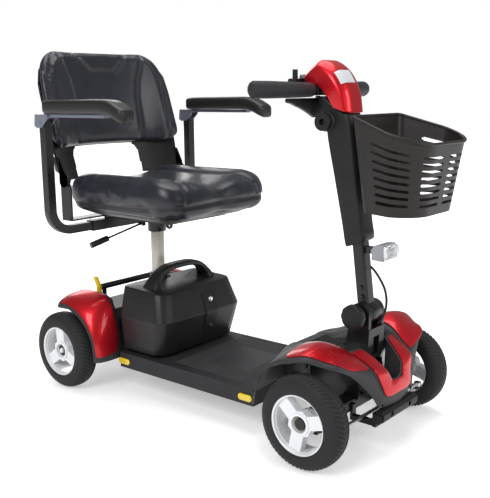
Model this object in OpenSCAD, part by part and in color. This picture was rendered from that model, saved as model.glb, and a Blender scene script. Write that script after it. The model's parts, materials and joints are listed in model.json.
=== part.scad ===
// Four-wheeled travel mobility scooter, as an assembly of its separate pieces.
// Millimetres. +X is forwards, +Y is the rider's left, +Z is up.
// The origin is on the floor, under the middle of the overall length.

/* [Wheels] */
// Distance between the two axles
wheelbase = 876; // [840:1:900]
// Outside diameter of all four solid tyres
tyre_d = 229; // [220:1:232]
// Width of a tyre
tyre_w = 64; // [56:1:66]
// Distance between the middles of two wheels on one axle
track = 494; // [488:1:500]
// Place of the rear axle, measured from the origin
rtilt_x = -460; // [-464:1:-456]

/* [Steering] */
// Place of the steering axis
steer_x = 424; // [422:1:426]
// Distance from the middle to a kingpin
kingpin_y = 195; // [194:1:196]
// Length of the three steering arms
arm_len = 60; // [56:1:62]
// Place of the tiller's tilt axis
tilt_x = 430; // [428:1:432]
// Height of the tiller's tilt axis
tilt_z = 327; // [325:1:330]
// Lean of the tiller tube, in degrees
tiller_lean = 7; // [6:0.1:7.5]

/* [Deck] */
// Height of the deck's top
deck_z = 120; // [118:1:122]
// Half of the deck's width
deck_half = 178; // [174:1:182]
// Height of the lower edge of the deck's skirt
skirt_z = 75; // [70:1:78]

/* [Seat] */
// Place of the seat post
post_x = -311; // [-313:1:-309]
// Outside diameter of the seat post
post_d = 41; // [40:0.5:41.5]
// Height of the middle of the arm receiver tube
receiver_z = 480; // [478:1:482]
// Place of the arm receiver tube
receiver_x = -444; // [-446:1:-442]
// Distance from the middle to an arm's upright
arm_y = 290; // [286:1:292]
// Side of the square arm tube
arm_tube = 25; // [24:0.5:25.5]
// Height of the backrest's hinge
hinge_z = 622; // [618:1:626]
// Place of the backrest's hinge
hinge_x = -439; // [-442:1:-436]

/* [Battery] */
// Half of the battery box's width at its widest
battery_half = 174; // [170:1:176]
// Height of the battery box's lid
battery_top = 309; // [300:1:312]

/* [Hidden] */
$fn = 48;
axle_z = tyre_d / 2;
front_x = rtilt_x + wheelbase;
rim_r = 76;
hub_y = track / 2;
gap = 0.4;

// ---- helpers ---------------------------------------------------------------------------------

// Points on an arc about c, from angle a to angle b.
function arc(c, r, a, b, n = 6) = [for (i = [0:n]) let (t = a + (b - a) * i / n) c + r * [cos(t), sin(t)]];

// Outline of a rectangle w by d with round corners, centred on the origin.
function round_rect(w, d, r, n = 5) = concat(
    arc([w / 2 - r, d / 2 - r], r, 0, 90, n), arc([r - w / 2, d / 2 - r], r, 90, 180, n),
    arc([r - w / 2, r - d / 2], r, 180, 270, n), arc([w / 2 - r, r - d / 2], r, 270, 360, n));

function unit(v) = v / max(norm(v), 1e-9);

// A straight round bar from a to b.
module rod(a, b, r) {
    v = b - a;
    translate(a)
        rotate([0, acos(v.z / norm(v)), atan2(v.y, v.x)])
            cylinder(h = norm(v), r = r);
}

// A box between its lowest and highest corners.
module block(lo, hi) {
    translate(lo)
        cube(hi - lo);
}

// A cylinder along Y, from y0 to y1, about (x, z).
module across(x, z, y0, y1, r) {
    translate([x, y0, z])
        rotate([-90, 0, 0])
            cylinder(h = y1 - y0, r = r);
}

// A cylinder along X, from x0 to x1, about (y, z).
module along_x(x0, x1, y, z, r) {
    translate([x0, y, z])
        rotate([0, 90, 0])
            cylinder(h = x1 - x0, r = r);
}

// A side profile in X and Z, made y0 to y1 thick.
module profile(points, y0, y1) {
    translate([0, y1, 0])
        rotate([90, 0, 0])
            linear_extrude(y1 - y0)
                polygon(points);
}

// Both sides of the object.
module both() {
    children();
    mirror([0, 1, 0])
        children();
}

// The rider's right side is -Y: side is -1 for right and 1 for left.
module on_side(side) {
    mirror([0, side < 0 ? 1 : 0, 0])
        children();
}

function mean(points) = [for (p = points) 1] * points / len(points);

// Twice the area vector of a ring about its middle.
function ring_area(r, c) = [for (i = [0:len(r) - 1]) 1] * [for (i = [0:len(r) - 1])
    cross(r[i] - c, r[(i + 1) % len(r)] - c)];

// A closed skin through rings that all have the same number of points, in either turning sense.
module loft(rings) {
    n = len(rings[0]);
    m = len(rings);
    c0 = mean(rings[0]);
    c1 = mean(rings[m - 1]);
    flip = ring_area(rings[0], c0) * (mean(rings[1]) - c0) > 0;
    faces = concat(
        [for (i = [0:n - 1]) [m * n, (i + 1) % n, i]],
        [for (k = [0:m - 2], i = [0:n - 1]) let (j = (i + 1) % n)
            [k * n + i, k * n + j, (k + 1) * n + j]],
        [for (k = [0:m - 2], i = [0:n - 1]) let (j = (i + 1) % n)
            [k * n + i, (k + 1) * n + j, (k + 1) * n + i]],
        [for (i = [0:n - 1]) [m * n + 1, (m - 1) * n + i, (m - 1) * n + (i + 1) % n]]);
    polyhedron(concat([for (r = rings, p = r) p], [c0, c1]),
        [for (f = faces) flip ? [f[2], f[1], f[0]] : f]);
}

// The unit normal of a grid of points at row i and column j.
function grid_normal(g, i, j) = let (
    a = g[min(i + 1, len(g) - 1)][j] - g[max(i - 1, 0)][j],
    b = g[i][min(j + 1, len(g[0]) - 1)] - g[i][max(j - 1, 0)]) unit(cross(b, a));

// A grid moved along its own normals.
function offset_grid(g, d) = [for (i = [0:len(g) - 1]) [for (j = [0:len(g[0]) - 1])
    g[i][j] + d * grid_normal(g, i, j)]];

// Part of a grid, at the row numbers us and the column numbers vs, which may be fractions.
function sample(g, u, v) = let (
    i = min(floor(u), len(g) - 2), j = min(floor(v), len(g[0]) - 2), a = u - i, b = v - j)
    (g[i][j] * (1 - b) + g[i][j + 1] * b) * (1 - a) + (g[i + 1][j] * (1 - b) + g[i + 1][j + 1] * b) * a;
function patch(g, us, vs) = [for (u = us) [for (v = vs) sample(g, u, v)]];

// A path of ribs that ends at the middle, carried on over its mirror image.
function mirrored_path(ribs) = concat(ribs,
    [for (i = [len(ribs) - 2:-1:0]) [for (p = ribs[i]) [p.x, -p.y, p.z]]]);

// A sheet from a grid of points: its faces lie d0 and d1 along the grid's normals.
module sheet(g, d0, d1) {
    shell(offset_grid(g, min(d0, d1)), offset_grid(g, max(d0, d1)));
}

// The solid between two grids of one size.
module shell(lower, upper) {
    n = len(lower[0]);
    m = len(lower);
    k = m * n;
    function at(i, j) = i * n + j;
    quads = concat(
        [for (i = [0:m - 2], j = [0:n - 2])
            [k + at(i, j), k + at(i, j + 1), k + at(i + 1, j + 1), k + at(i + 1, j)]],
        [for (i = [0:m - 2], j = [0:n - 2]) [at(i, j), at(i + 1, j), at(i + 1, j + 1), at(i, j + 1)]],
        [for (i = [0:m - 2]) [at(i, 0), k + at(i, 0), k + at(i + 1, 0), at(i + 1, 0)]],
        [for (i = [0:m - 2]) [at(i + 1, n - 1), k + at(i + 1, n - 1), k + at(i, n - 1), at(i, n - 1)]],
        [for (j = [0:n - 2]) [at(0, j + 1), k + at(0, j + 1), k + at(0, j), at(0, j)]],
        [for (j = [0:n - 2]) [at(m - 1, j), k + at(m - 1, j), k + at(m - 1, j + 1), at(m - 1, j + 1)]]);
    polyhedron(concat([for (r = lower, p = r) p], [for (r = upper, p = r) p]),
        [for (q = quads, t = [[2, 1, 0], [3, 2, 0]]) [for (v = t) q[v]]]);
}

// A panel that stands off part of a grid, on the side away from its normals, at the row numbers us
// and the column numbers vs.
module raised(g, us, vs, stand = 1.4) {
    thick = 2.6;
    shell(patch(offset_grid(g, -stand - thick), us, vs), patch(offset_grid(g, -stand), us, vs));
}

// A round tube swept along points, for the cable.
module swept(points, r, sides = 8) {
    last = len(points) - 1;
    loft([for (i = [0:last]) let (
        t = unit(points[min(i + 1, last)] - points[max(i - 1, 0)]),
        a = unit(cross(t, [0, 1, 0])), b = cross(t, a))
        [for (k = [0:sides - 1]) points[i] + r * (cos(k * 360 / sides) * a - sin(k * 360 / sides) * b)]]);
}

// ---- chassis ---------------------------------------------------------------------------------

module head_gusset() {
    profile([[326, 100], [396, 100], [398, 134], [412, 140], [412, 204], [404, 204]], -14, 14);
}

tip_x = -605;
tip_z = 42;
hoop_y = 118;

module main_frame() {
    spine_end = 400;
    color("#26262a") difference() {
        union() {
            block([-345, -25, 80], [spine_end, 25, 108]);
            // front axle beam with a boss for each kingpin
            block([396, -kingpin_y + 8, 90], [436, kingpin_y - 8, 118]);
            both() translate([front_x, kingpin_y, 86])
                cylinder(h = 36, r = 16);
            head_gusset();
            translate([steer_x, 0, 132])
                cylinder(h = 73, r = 24);
            // bumper carrier in front of the beam
            both() block([434, 62, 68], [508, 78, 80]);
            both() block([434, 62, 68], [442, 78, 108]);
            block([500, -82, 68], [510, 82, 104]);
            // seat post socket
            translate([post_x, 0, 84])
                cylinder(h = 246, r = post_d / 2 + 5.5);
            // rear sub-frame
            both() block([-540, 66, 70], [-330, 82, 94]);
            block([-345, -82, 72], [-325, 82, 92]);
            block([-540, -82, 72], [-524, 82, 92]);
            both() block([rtilt_x - 20, 66, 90], [rtilt_x + 20, 82, 96.5]);
            // rear lifting hoop
            both() block([-431, hoop_y, 72], [-419, hoop_y + 8, 290]);
            both() block([-431, 80, 72], [-419, hoop_y + 8, 84]);
            across(-425, 290, -hoop_y - 14, hoop_y + 14, 9);
            // arms of the anti-tip wheels
            both() rod([-532, 74, 82], [tip_x + 2, 92, tip_z + 2], 7);
            both() across(tip_x, tip_z, 82, 98, 10);
        }
        translate([steer_x, 0, 131])
            cylinder(h = 76, r = 17.4);
        both() translate([front_x, kingpin_y, 85])
            cylinder(h = 38, r = 8.4);
        translate([post_x, 0, 112])
            cylinder(h = 220, r = post_d / 2 + 0.4);
        both() across(tip_x, tip_z, 80, 100, 5.4);
    }
}

deck_x0 = -300;
deck_x1 = 206;

module floor_pan() {
    wall = 4;
    color("#4a4a4e") {
        difference() {
            block([deck_x0, -deck_half, skirt_z], [deck_x1, deck_half, deck_z]);
            block([deck_x0 + wall, wall - deck_half, skirt_z - 1],
                [deck_x1 - wall, deck_half - wall, deck_z - wall]);
            block([post_x - 28, -33, 70], [post_x + 34, 33, deck_z + 1]);
            // recess for the mat
            block([mat_x0 - 0.5, -mat_half - 0.5, deck_z - 1.5],
                [mat_x1 + 0.5, mat_half + 0.5, deck_z + 1]);
            // the ends let the spine through
            block([deck_x0 - 10, -26, 70], [deck_x0 + 10, 26, 109]);
            block([deck_x1 - 10, -26, 70], [deck_x1 + 10, 26, 109]);
        }
        // grip strips outside the mat
        both() for (i = [0:19])
            block([-108 + i * 13, mat_half + 5, deck_z - 0.5], [-103 + i * 13, deck_half - 6, deck_z + 1.2]);
    }
}

mat_x0 = -110;
mat_x1 = 152;
mat_half = 148;

module deck_mat() {
    color("#2b2d30") union() {
        block([mat_x0, -mat_half, deck_z - 1.4], [mat_x1, mat_half, deck_z + 1]);
        for (j = [0:12])
            block([mat_x0 + 8, -141 + j * 23, deck_z + 0.5], [mat_x1 - 8, -135 + j * 23, deck_z + 2]);
    }
}

module side_reflectors() {
    color("#ffd400") both() for (x = [-281, 180])
        block([x - 23, deck_half + gap, 86], [x + 23, deck_half + gap + 4, 104]);
}

// Front shroud: ribs run from the riser at its rear to the nose, each from the inside outwards.
front_ribs = [
    [[211, 44, 108], [211, 44, 126], [215, 130, 126], [213, 186, 120], [213, 187, 98]],
    [[238, 44, 150], [232, 48, 214], [246, 130, 206], [262, 243, 152], [259, 245, 100]],
    [[290, 46, 214], [278, 55, 230], [290, 130, 236], [289, 245, 214], [287, 246, 204]],
    [[336, 70, 228], [330, 75, 243], [330, 150, 258], [330, 245, 243], [330, 247, 233]],
    [[380, 88, 236], [372, 104, 252], [385, 165, 277], [373, 245, 257], [373, 247, 247]],
    [[412, 90, 236], [410, 104, 254], [412, 165, 278], [411, 239, 265], [411, 241, 255]],
    [[434, 90, 234], [437, 101, 249], [448, 150, 264], [451, 216, 253], [450, 218, 243]],
    [[464, 84, 218], [472, 97, 231], [480, 130, 240], [482, 200, 246], [480, 202, 236]],
    [[494, 80, 196], [505, 91, 209], [500, 118, 216], [494, 159, 223], [490, 162, 214]],
    [[504, 66, 160], [514, 75, 174], [514, 88, 176], [510, 103, 169], [505, 108, 162]],
    [[512, 52, 132], [522, 59, 140], [524, 67, 133], [521, 76, 126], [516, 80, 118]]];

// The nose band: from the top of one leg, round the front, with its inner and outer edges.
nose_ribs = [
    [[449, 58, 251], [437, 101, 249.5]],
    [[482, 46, 227], [472, 97, 231.5]],
    [[508, 36, 203], [505.5, 91, 209.5]],
    [[514, 27, 188], [514.5, 75, 174.5]],
    [[517, 21, 177], [522.5, 59, 141]],
    [[519, 0, 176], [525, 0, 138]]];

// Inner walls of the well about the steering column.
well_ribs = [
    [[450, 62, 248], [447, 62, 150]], [[483, 51, 224], [482, 52, 140]],
    [[507, 41, 200.5], [500, 45, 130]], [[513.5, 30, 184], [508, 27, 126]],
    [[516, 0, 173.5], [511, 0, 126]]];

module front_shroud() {
    under = 6;
    color("#4b4b4d") difference() {
        union() {
            both() sheet(front_ribs, 0, 3.5);
            // the band runs on a little under the ribs' inner edges
            sheet(mirrored_path([for (r = nose_ribs)
                [r[0], r[1], r[1] + under * unit(r[1] - r[0]) - [0, 0, 7]]]), 0.2, 4);
            sheet(mirrored_path(well_ribs), 0, -3);
            // lower front strip down to the bumper
            sheet(mirrored_path([[[519, 61, 142], [516, 63, 112]], [[523, 0, 141], [523, 0, 112]]]), 0, 4);
            // riser between the deck and the column
            sheet([[[211, -46, 109], [211, 46, 109]], [[232.5, -50, 212], [232.5, 50, 212]],
                [[277, -57, 228], [277, 57, 228]]], -4, -0.4);
        }
        both() translate([front_x, kingpin_y, axle_z])
            sphere(r = 146, $fn = 48);
    }
}

module front_grille() {
    color("#1f1f21") difference() {
        profile([[284, 226], [380, 196], [381, 199], [285, 229]], -43, 43);
        for (i = [0:6], j = [-4:4])
            translate([294 + i * 12, j * 9, 190])
                cylinder(h = 40, r = 2.6, $fn = 6);
    }
}

module front_red_panels() {
    color("#c3161c") {
        both() raised(front_ribs, [3.4, 4, 5, 6, 7, 7.8], [1.35, 2, 2.92], 3);
        raised(mirrored_path(nose_ribs), [0.15, 1, 2, 3, 4, 5, 6, 7, 8, 9, 9.85], [0.06, 0.94]);
    }
}

module bumper_pad() {
    color("#2a2a2c") difference() {
        union() {
            profile([[511, 84], [529, 84], [534, 92], [534, 104], [526, 111], [511, 111]], -84, 84);
            both() across(516, 92, 84, 90, 12);
        }
        both() translate([520, 44, 97])
            rotate([0, 90, 0])
                cylinder(h = 20, r = 7);
    }
}

// Rear fender: ribs run round the wheel's arch, each from the inside top outwards.
rear_ribs = [
    [[-502, 158, 262], [-500, 166, 268], [-495, 222, 262], [-488, 250, 248], [-488, 252, 240]],
    [[-450, 158, 276], [-450, 166, 282], [-443, 222, 274], [-437, 250, 250], [-437, 252, 242]],
    [[-402, 158, 278], [-400, 166, 284], [-390, 222, 262], [-392, 250, 232], [-394, 252, 225]],
    [[-356, 158, 268], [-350, 166, 274], [-352, 222, 238], [-358, 250, 202], [-362, 252, 197]],
    [[-332, 158, 212], [-325, 166, 214], [-326, 222, 184], [-334, 250, 162], [-340, 252, 160]],
    [[-318, 158, 98], [-311, 166, 98], [-312, 222, 98], [-325, 250, 98], [-331, 252, 98]]];

module rear_shroud() {
    cover_x = -348;
    color("#4b4b4d") {
        both() sheet(rear_ribs, 0, 3.5);
        // centre cover over the motor
        difference() {
            profile([[-522, 98], [-522, 190], [-500, 226], [-380, 226], [cover_x, 205], [cover_x, 98]],
                -157, 157);
            profile([[-519, 90], [-519, 189], [-498.5, 223], [-381, 223], [cover_x - 3, 203],
                [cover_x - 3, 90]], -154, 154);
            both() translate([rtilt_x, 0, axle_z])
                rotate([-90, 0, 0])
                    cylinder(h = 200, r = 24);
            both() block([rtilt_x - 24, 100, 90], [rtilt_x + 24, 170, axle_z]);
            both() block([-433, hoop_y - 2, 200], [-417, hoop_y + 10, 240]);
            // slot of the freewheel lever
            block([-452, -153.5, 215], [-392, -141, 240]);
        }
        // webs that join the fenders to the cover
        both() sheet([for (r = [[-501, 262], [-450, 277], [-401, 279], [-353, 269], [-329, 212],
            [-318, 120]])
            [[r.x, 160, r.y], [r.x, 160, min(r.y - 14, 150)]]], 0, 5.5);
    }
}

module rear_red_panels() {
    color("#c3161c") both()
        raised(rear_ribs, [0.08, 1, 2, 3, 4, 4.9], [1.06, 2, 2.9]);
}

motor_x = -386;
motor_z = 150;

module transaxle() {
    color("#8d9094") difference() {
        union() {
            across(rtilt_x, axle_z, -190, 190, 17);
            across(rtilt_x, axle_z, -38, 38, 52);
            across(motor_x, motor_z, -30, 14, 29);
            block([rtilt_x + 20, -28, 112], [motor_x + 4, 12, 175]);
            both() across(rtilt_x, axle_z, 181, 190, 23);
        }
        across(rtilt_x, axle_z, -200, 200, 10.4);
    }
}

module drive_motor() {
    color("#2d2f33") union() {
        across(motor_x, motor_z, 14.2, 118, 28.5);
        // electromagnetic brake and its hand-release boss
        across(motor_x, motor_z, 118, 138, 27);
        across(motor_x, motor_z, -46, -30.2, 24);
        across(motor_x, motor_z, -52, -46, 12);
    }
}

module controller() {
    color("#3b3d40") {
        block([-499, -64, 172], [-442, 60, 208]);
        for (i = [0:7])
            block([-497, -58 + i * 15, 207], [-444, -54 + i * 15, 216]);
    }
}

// ---- wheels ----------------------------------------------------------------------------------

// A tyre's section, in radius and width, with round shoulders.
function tyre_section() = let (w = tyre_w / 2, r = tyre_d / 2, s = 15) concat(
    [[rim_r + 0.2, -w + 6], [rim_r + 8, -w]], arc([r - s, -w + s], s, -90, -8, 6),
    arc([r - s, w - s], s, 8, 90, 6), [[rim_r + 8, w], [rim_r + 0.2, w - 6]]);

module tyre(x, side) {
    color("#3a3a3c") translate([x, side * hub_y, axle_z])
        rotate([90, 0, 0])
            rotate_extrude($fn = 96)
                polygon(tyre_section());
}

// One opening between two spokes, cut straight through the disc. The spokes keep one width.
module spoke_opening() {
    half = 17;
    inner = 34;
    outer = 67;
    linear_extrude(80, center = true)
        difference() {
            polygon(concat(arc([0, 0], outer, 5, 115, 12),
                [[-half, inner], [inner * cos(60), inner * sin(60)], [inner + 4, 0]]));
            translate([0, -half])
                square([100, 2 * half]);
            rotate(120)
                translate([0, -half])
                    square([100, 2 * half]);
        }
}

// A cast wheel. Its outside faces +Z here. It is solid at the middle where bore_r is 0.
module wheel_casting(turn, bore_r) {
    difference() {
        union() {
            rotate_extrude($fn = 96)
                polygon([[rim_r - 7, -27], [rim_r, -30], [rim_r, -24], [rim_r - 1, -22], [rim_r - 1, 22],
                    [rim_r, 24], [rim_r, 29], [rim_r - 3, 31], [rim_r - 7, 29], [rim_r - 9, 10],
                    [rim_r - 8, -10]]);
            translate([0, 0, -2])
                cylinder(h = 23, r = rim_r - 7);
            translate([0, 0, -22])
                cylinder(h = 46, r = 27);
        }
        for (i = [0:2])
            rotate(turn + i * 120)
                spoke_opening();
        translate([0, 0, 10])
            cylinder(h = 20, r = 20.5);
        if (bore_r > 0)
            translate([0, 0, -40])
                cylinder(h = 80, r = bore_r);
    }
}

module front_rim(side) {
    color("#e8e9ea") translate([front_x, side * hub_y, axle_z])
        rotate([side > 0 ? -90 : 90, 0, 0])
            wheel_casting(17, 10.4);
}

module rear_rim(side) {
    color("#e8e9ea") translate([rtilt_x, side * hub_y, axle_z])
        rotate([side > 0 ? -90 : 90, 0, 0]) {
            wheel_casting(95, 0);
            // half shaft pressed into the hub
            translate([0, 0, -195])
                cylinder(h = 175, r = 10);
            // hub cap and its bolt
            translate([0, 0, 9])
                cylinder(h = 8, r = 20.5);
            translate([0, 0, 16])
                cylinder(h = 7, r = 8, $fn = 6);
        }
}

module anti_tip_wheels() {
    color("#2b2b2d") {
        both() difference() {
            across(tip_x, tip_z, 98.6, 116, 25);
            across(tip_x, tip_z, 112, 120, 9);
        }
        both() across(tip_x, tip_z, 76, 100, 5);
        both() across(tip_x, tip_z, 72, 81.4, 9);
        // a shaft joins the two wheels
        across(tip_x, tip_z, -76, 76, 5);
    }
}

// ---- steering --------------------------------------------------------------------------------

module knuckle(side) {
    color("#3a3c3f") on_side(side) union() {
        translate([front_x, kingpin_y, 75])
            cylinder(h = 58, r = 8);
        block([front_x - 17, kingpin_y - 15, 76], [front_x + 17, 221, 84]);
        block([front_x - 17, kingpin_y - 15, 124], [front_x + 17, 221, 132]);
        block([front_x - 17, 213, 76], [front_x + 17, 221, 132]);
        across(front_x, axle_z, 220, hub_y + 12, 10);
        across(front_x, axle_z, hub_y + 12, hub_y + 20, 14);
        // steering arm and its pin
        block([front_x, kingpin_y - 9, 76], [front_x + arm_len, kingpin_y + 9, 84]);
        translate([front_x + arm_len, kingpin_y, 76])
            cylinder(h = 8, r = 9);
        translate([front_x + arm_len, kingpin_y, 76])
            cylinder(h = 21, r = 4.6);
    }
}

module tie_rod() {
    rod_x = front_x + arm_len;
    color("#b9bcc0") difference() {
        union() {
            across(rod_x, 90, -kingpin_y + 4, kingpin_y - 4, 4.6);
            both() translate([rod_x, kingpin_y, 85])
                cylinder(h = 10, r = 10);
            block([rod_x - 6, -12, 85], [steer_x + arm_len + 6, 12, 95]);
        }
        both() translate([rod_x, kingpin_y, 80])
            cylinder(h = 20, r = 5);
        translate([steer_x + arm_len, 0, 80])
            cylinder(h = 20, r = 5);
    }
}

module steering_base() {
    color("#2c2d30") difference() {
        union() {
            translate([steer_x, 0, 120.5])
                cylinder(h = 88, r = 17);
            // pitman arm and its pin
            translate([steer_x, 0, 120.5])
                cylinder(h = 9, r = 22);
            block([steer_x, -10, 120.5], [steer_x + arm_len, 10, 129.5]);
            translate([steer_x + arm_len, 0, 84])
                cylinder(h = 45.5, r = 4.6);
            translate([steer_x + arm_len, 0, 120.5])
                cylinder(h = 9, r = 10);
            // casting that carries the tilt joint
            translate([steer_x, 0, 206])
                cylinder(h = 10, r = 30);
            profile([[396, 214], [452, 214], [458, 250], [460, 292], [400, 292], [392, 250]], -37, 37);
            both() profile(concat([[402, 280], [458, 280]], arc([tilt_x, tilt_z], 29, -10, 190, 14)),
                25.5, 37);
            across(tilt_x, tilt_z, -48, 40, 8);
            across(tilt_x, tilt_z, 37, 43, 14);
        }
        // the tiller's boss turns in here
        across(tilt_x, tilt_z, -25.3, 25.3, 34);
        // relief in the casting's front
        block([446, -14, 222], [470, 14, 270]);
    }
    across(tilt_x, tilt_z, -26, 26, 8);
}

module tilt_knob() {
    color("#232326") difference() {
        union() {
            across(tilt_x, tilt_z, -74, -48.4, 26);
            across(tilt_x, tilt_z, -74, -56, 31);
            for (i = [0:9])
                translate([tilt_x + 28.5 * cos(i * 36), -58, tilt_z + 28.5 * sin(i * 36)])
                    rotate([90, 0, 0])
                        cylinder(h = 16, r = 4);
        }
        across(tilt_x, tilt_z, -60, -40, 8.3);
    }
}

// ---- tiller ----------------------------------------------------------------------------------

// Turns children that are modelled upright about the tilt axis, so that +Z runs up the tube.
module along_tiller() {
    translate([tilt_x, 0, tilt_z])
        rotate([0, -tiller_lean, 0])
            children();
}

lamp_x = 451;
lamp_z = 486;

module tiller_tube() {
    color("#2b2b2e") difference() {
        union() {
            across(tilt_x, tilt_z, -25, 25, 29);
            along_tiller() translate([0, 0, 20])
                linear_extrude(470)
                    polygon(round_rect(32, 36, 7));
            // bolts of the boss
            along_tiller() for (z = [42, 64])
                across(0, z, -24, 24, 6);
            // lamp lug
            profile([[420, 478], [448, 478], [456, 482], [456, 490], [448, 494], [420, 494]], -8, 8);
        }
        across(tilt_x, tilt_z, -30, 30, 8.4);
        across(lamp_x, lamp_z, -20, 20, 3.4);
    }
}

cover_profile = [[435, 512], [429, 546], [391, 816], [352, 827.5], [322, 859.5], [292, 857.5], [317, 800],
    [328, 725], [379, 490], [392, 496], [412, 512]];
cover_inside = [[430, 519], [425, 546], [387.5, 812.5], [350, 823.5], [320, 855.5], [297, 854], [320.5, 801],
    [331.5, 726], [382, 495], [391, 499.5], [411, 516]];

module column_cover() {
    wall = 3;
    color("#454547") difference() {
        union() {
            profile(cover_profile, -33, 33);
            // bracket plate that carries the basket
            block([392, -12, 660], [432, 12, 676]);
            block([386, -12, 708], [432, 12, 724]);
            block([430, -36, 650], [434, 36, 760]);
            across(327, 796, -40, -30, 24);
        }
        difference() {
            profile(cover_inside, -33 + wall, 33 - wall);
            block([425, -40, 640], [440, 40, 770]);
        }
        along_tiller() translate([0, 0, 100])
            linear_extrude(392)
                polygon(round_rect(32.8, 36.8, 7));
        across(327, 796, -60, -20, 18.4);
    }
}

module charger_socket() {
    color("#242426") difference() {
        union() {
            across(327, 796, -50, -24, 18);
            across(327, 796, -54, -40.4, 22);
        }
        across(327, 796, -60, -40, 8);
    }
}

// Rings of the red hood, from its front bottom, over the top and down to its rear edge.
head_rings = [
    [[393, 817], [352, 829], 44], [[384, 868], [340, 850], 47], [[362, 910], [326, 868], 49],
    [[332, 936], [312, 880], 48], [[304, 943], [300, 884], 46], [[276, 926], [284, 884], 42],
    [[262, 912], [272, 884], 40]];

// A row of the hood's grid: up one side from the lower line, over the crown and down.
function hood_row(r) = let (d = r[0] - r[1]) [for (q = [[0, -1], [0.62, -1], [0.86, -0.8], [1, -0.42],
    [1, 0.42], [0.86, 0.8], [0.62, 1], [0, 1]]) let (p = r[1] + d * q[0]) [p.x, r[2] * q[1], p.y]];

module head_cover() {
    color("#c3161c") sheet([for (r = head_rings) hood_row(r)], 0, -3);
}

bar_x = 296;
bar_z = 872.5;
bar_bend_y = 104;
bar_end = [259, 238, 874];

button_x = 251;
horn_y = 30;

module console() {
    color("#3d3d40") difference() {
        union() {
            profile([[234, 884], [252, 862.5], [292, 859], [322.5, 861], [353, 829], [356, 833], [340, 852],
                [326, 870], [312, 882], [300, 886], [272, 886], [262, 898], [238, 898]], -36, 36);
            profile([[276, 859], [314, 861], [314, 876.5], [302, 882], [276, 882]], -50, 50);
            profile([[234, 884], [246, 880], [262, 880], [262, 900], [240, 900]], -72, 72);
        }
        across(bar_x, bar_z, -60, 60, 9.8);
        // pocket the horn button sinks into
        translate([button_x, horn_y, 894])
            cylinder(h = 20, r = 7.4);
    }
}

module handlebar() {
    color("#303033") union() {
        across(bar_x, bar_z, -bar_bend_y, bar_bend_y, 9.5);
        both() rod([bar_x + 0.4, bar_bend_y - 3, bar_z], bar_end, 9.3);
    }
}

module handlebar_grips() {
    color("#454547") both() difference() {
        union() {
            across(bar_x, bar_z, 52, bar_bend_y + 2, 18.5);
            rod([bar_x + 0.4, bar_bend_y - 5, bar_z], [257, 245, 874], 18.2);
        }
        across(bar_x, bar_z, 45, bar_bend_y + 0.5, 9.9);
        rod([bar_x + 1, bar_bend_y - 5, bar_z], [258.7, 239, 874], 9.7);
    }
}

throttle_x = 277;
paddle_edge = [[266, 0], [270, 42], [276, 110], [284, 150], [296, 148], [290, 108], [284, 42], [288, 0]];

module throttle_lever() {
    color("#2a2a2c") union() {
        translate([0, 0, 840])
            linear_extrude(11)
                polygon(concat(paddle_edge, [for (i = [6:-1:1]) [paddle_edge[i].x, -paddle_edge[i].y]]));
        translate([throttle_x, 0, 838])
            cylinder(h = 20, r = 6);
    }
}

module ignition_key() {
    color("#1f1f21") union() {
        translate([250, -58, 900.4])
            cylinder(h = 5, r = 7);
        block([243, -59.5, 904], [257, -56.5, 922]);
    }
}

module speed_dial() {
    color("#6c6e70") union() {
        translate([251, -26, 900.4])
            cylinder(h = 9, r = 9);
        block([250, -26, 909], [259, -25, 910.4]);
    }
}

module horn_button() {
    color("#c9a21a") translate([button_x, horn_y, 897])
        cylinder(h = 7, r = 7);
}

// ---- basket and lamp -------------------------------------------------------------------------

// Outline of the basket at one height: a straight back and a rounded front.
function basket_ring(x0, x1, half, z0, slope, inset) = [for (p = concat(
    [[x0 + inset, -half * 0.78 + inset]],
    arc([x1 - 62, -half + 60], 60 - inset, -90, -12, 6),
    arc([x1 - 62, half - 60], 60 - inset, 12, 90, 6),
    [[x0 + inset, half * 0.78 - inset]])) [p.x, p.y, z0 - slope * (p.x - x0)]];

module basket_solid(inset, floor_lift) {
    loft([basket_ring(462, 612, 112, 590 + floor_lift, 0, inset),
        basket_ring(446, 635, 145, 811 + inset * 0.4, 0.31, inset)]);
}

module basket() {
    color("#3d3532") difference() {
        union() {
            difference() {
                basket_solid(0, 0);
                basket_solid(3.5, 4);
            }
            // hook over the bracket
            block([423, -30, 761], [450, 30, 768]);
            block([423, -30, 738], [428, 30, 768]);
        }
        // rows of slots in the two sides and the front
        for (k = [0:6]) {
            z = 640 + k * 17;
            both() profile([[480, z + 8], [540, z - 6], [540, z + 1], [480, z + 15]], 60, 160);
            block([570, -60, z - 14], [650, -10, z - 7]);
            block([570, 10, z - 14], [650, 60, z - 7]);
        }
    }
}

module lamp_housing() {
    color("#9a9c9f") difference() {
        union() {
            profile([[458, 468], [488, 466], [490, 506], [466, 504], [458, 494]], -30, 30);
            both() profile([[446, 482], [462, 478], [462, 496], [446, 490]], 8.6, 13);
            across(lamp_x, lamp_z, -13, 13, 3);
        }
        // bowl of the reflector
        translate([473, 0, 486])
            rotate([0, 90, 0])
                cylinder(h = 20, r1 = 6, r2 = 17);
    }
}

module lamp_lens() {
    color([0.85, 0.9, 0.95, 0.5])
        profile([[490.4, 467], [498, 472], [500, 486], [498, 500], [490.4, 505]], -30, 30);
}

cable_route = [[439, 0, 444], [446, 0, 438], [455, 0, 429], [464, 0, 418], [472, 0, 406], [479, 0, 393],
    [483, 0, 379], [485, 0, 364], [484, 0, 349], [481, 0, 335], [476, 0, 322], [469, 0, 311],
    [461.5, 0, 302]];

module control_cable() {
    color("#141416")
        swept(cable_route, 3);
}

// ---- battery ---------------------------------------------------------------------------------

battery_x0 = -304;

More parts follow.
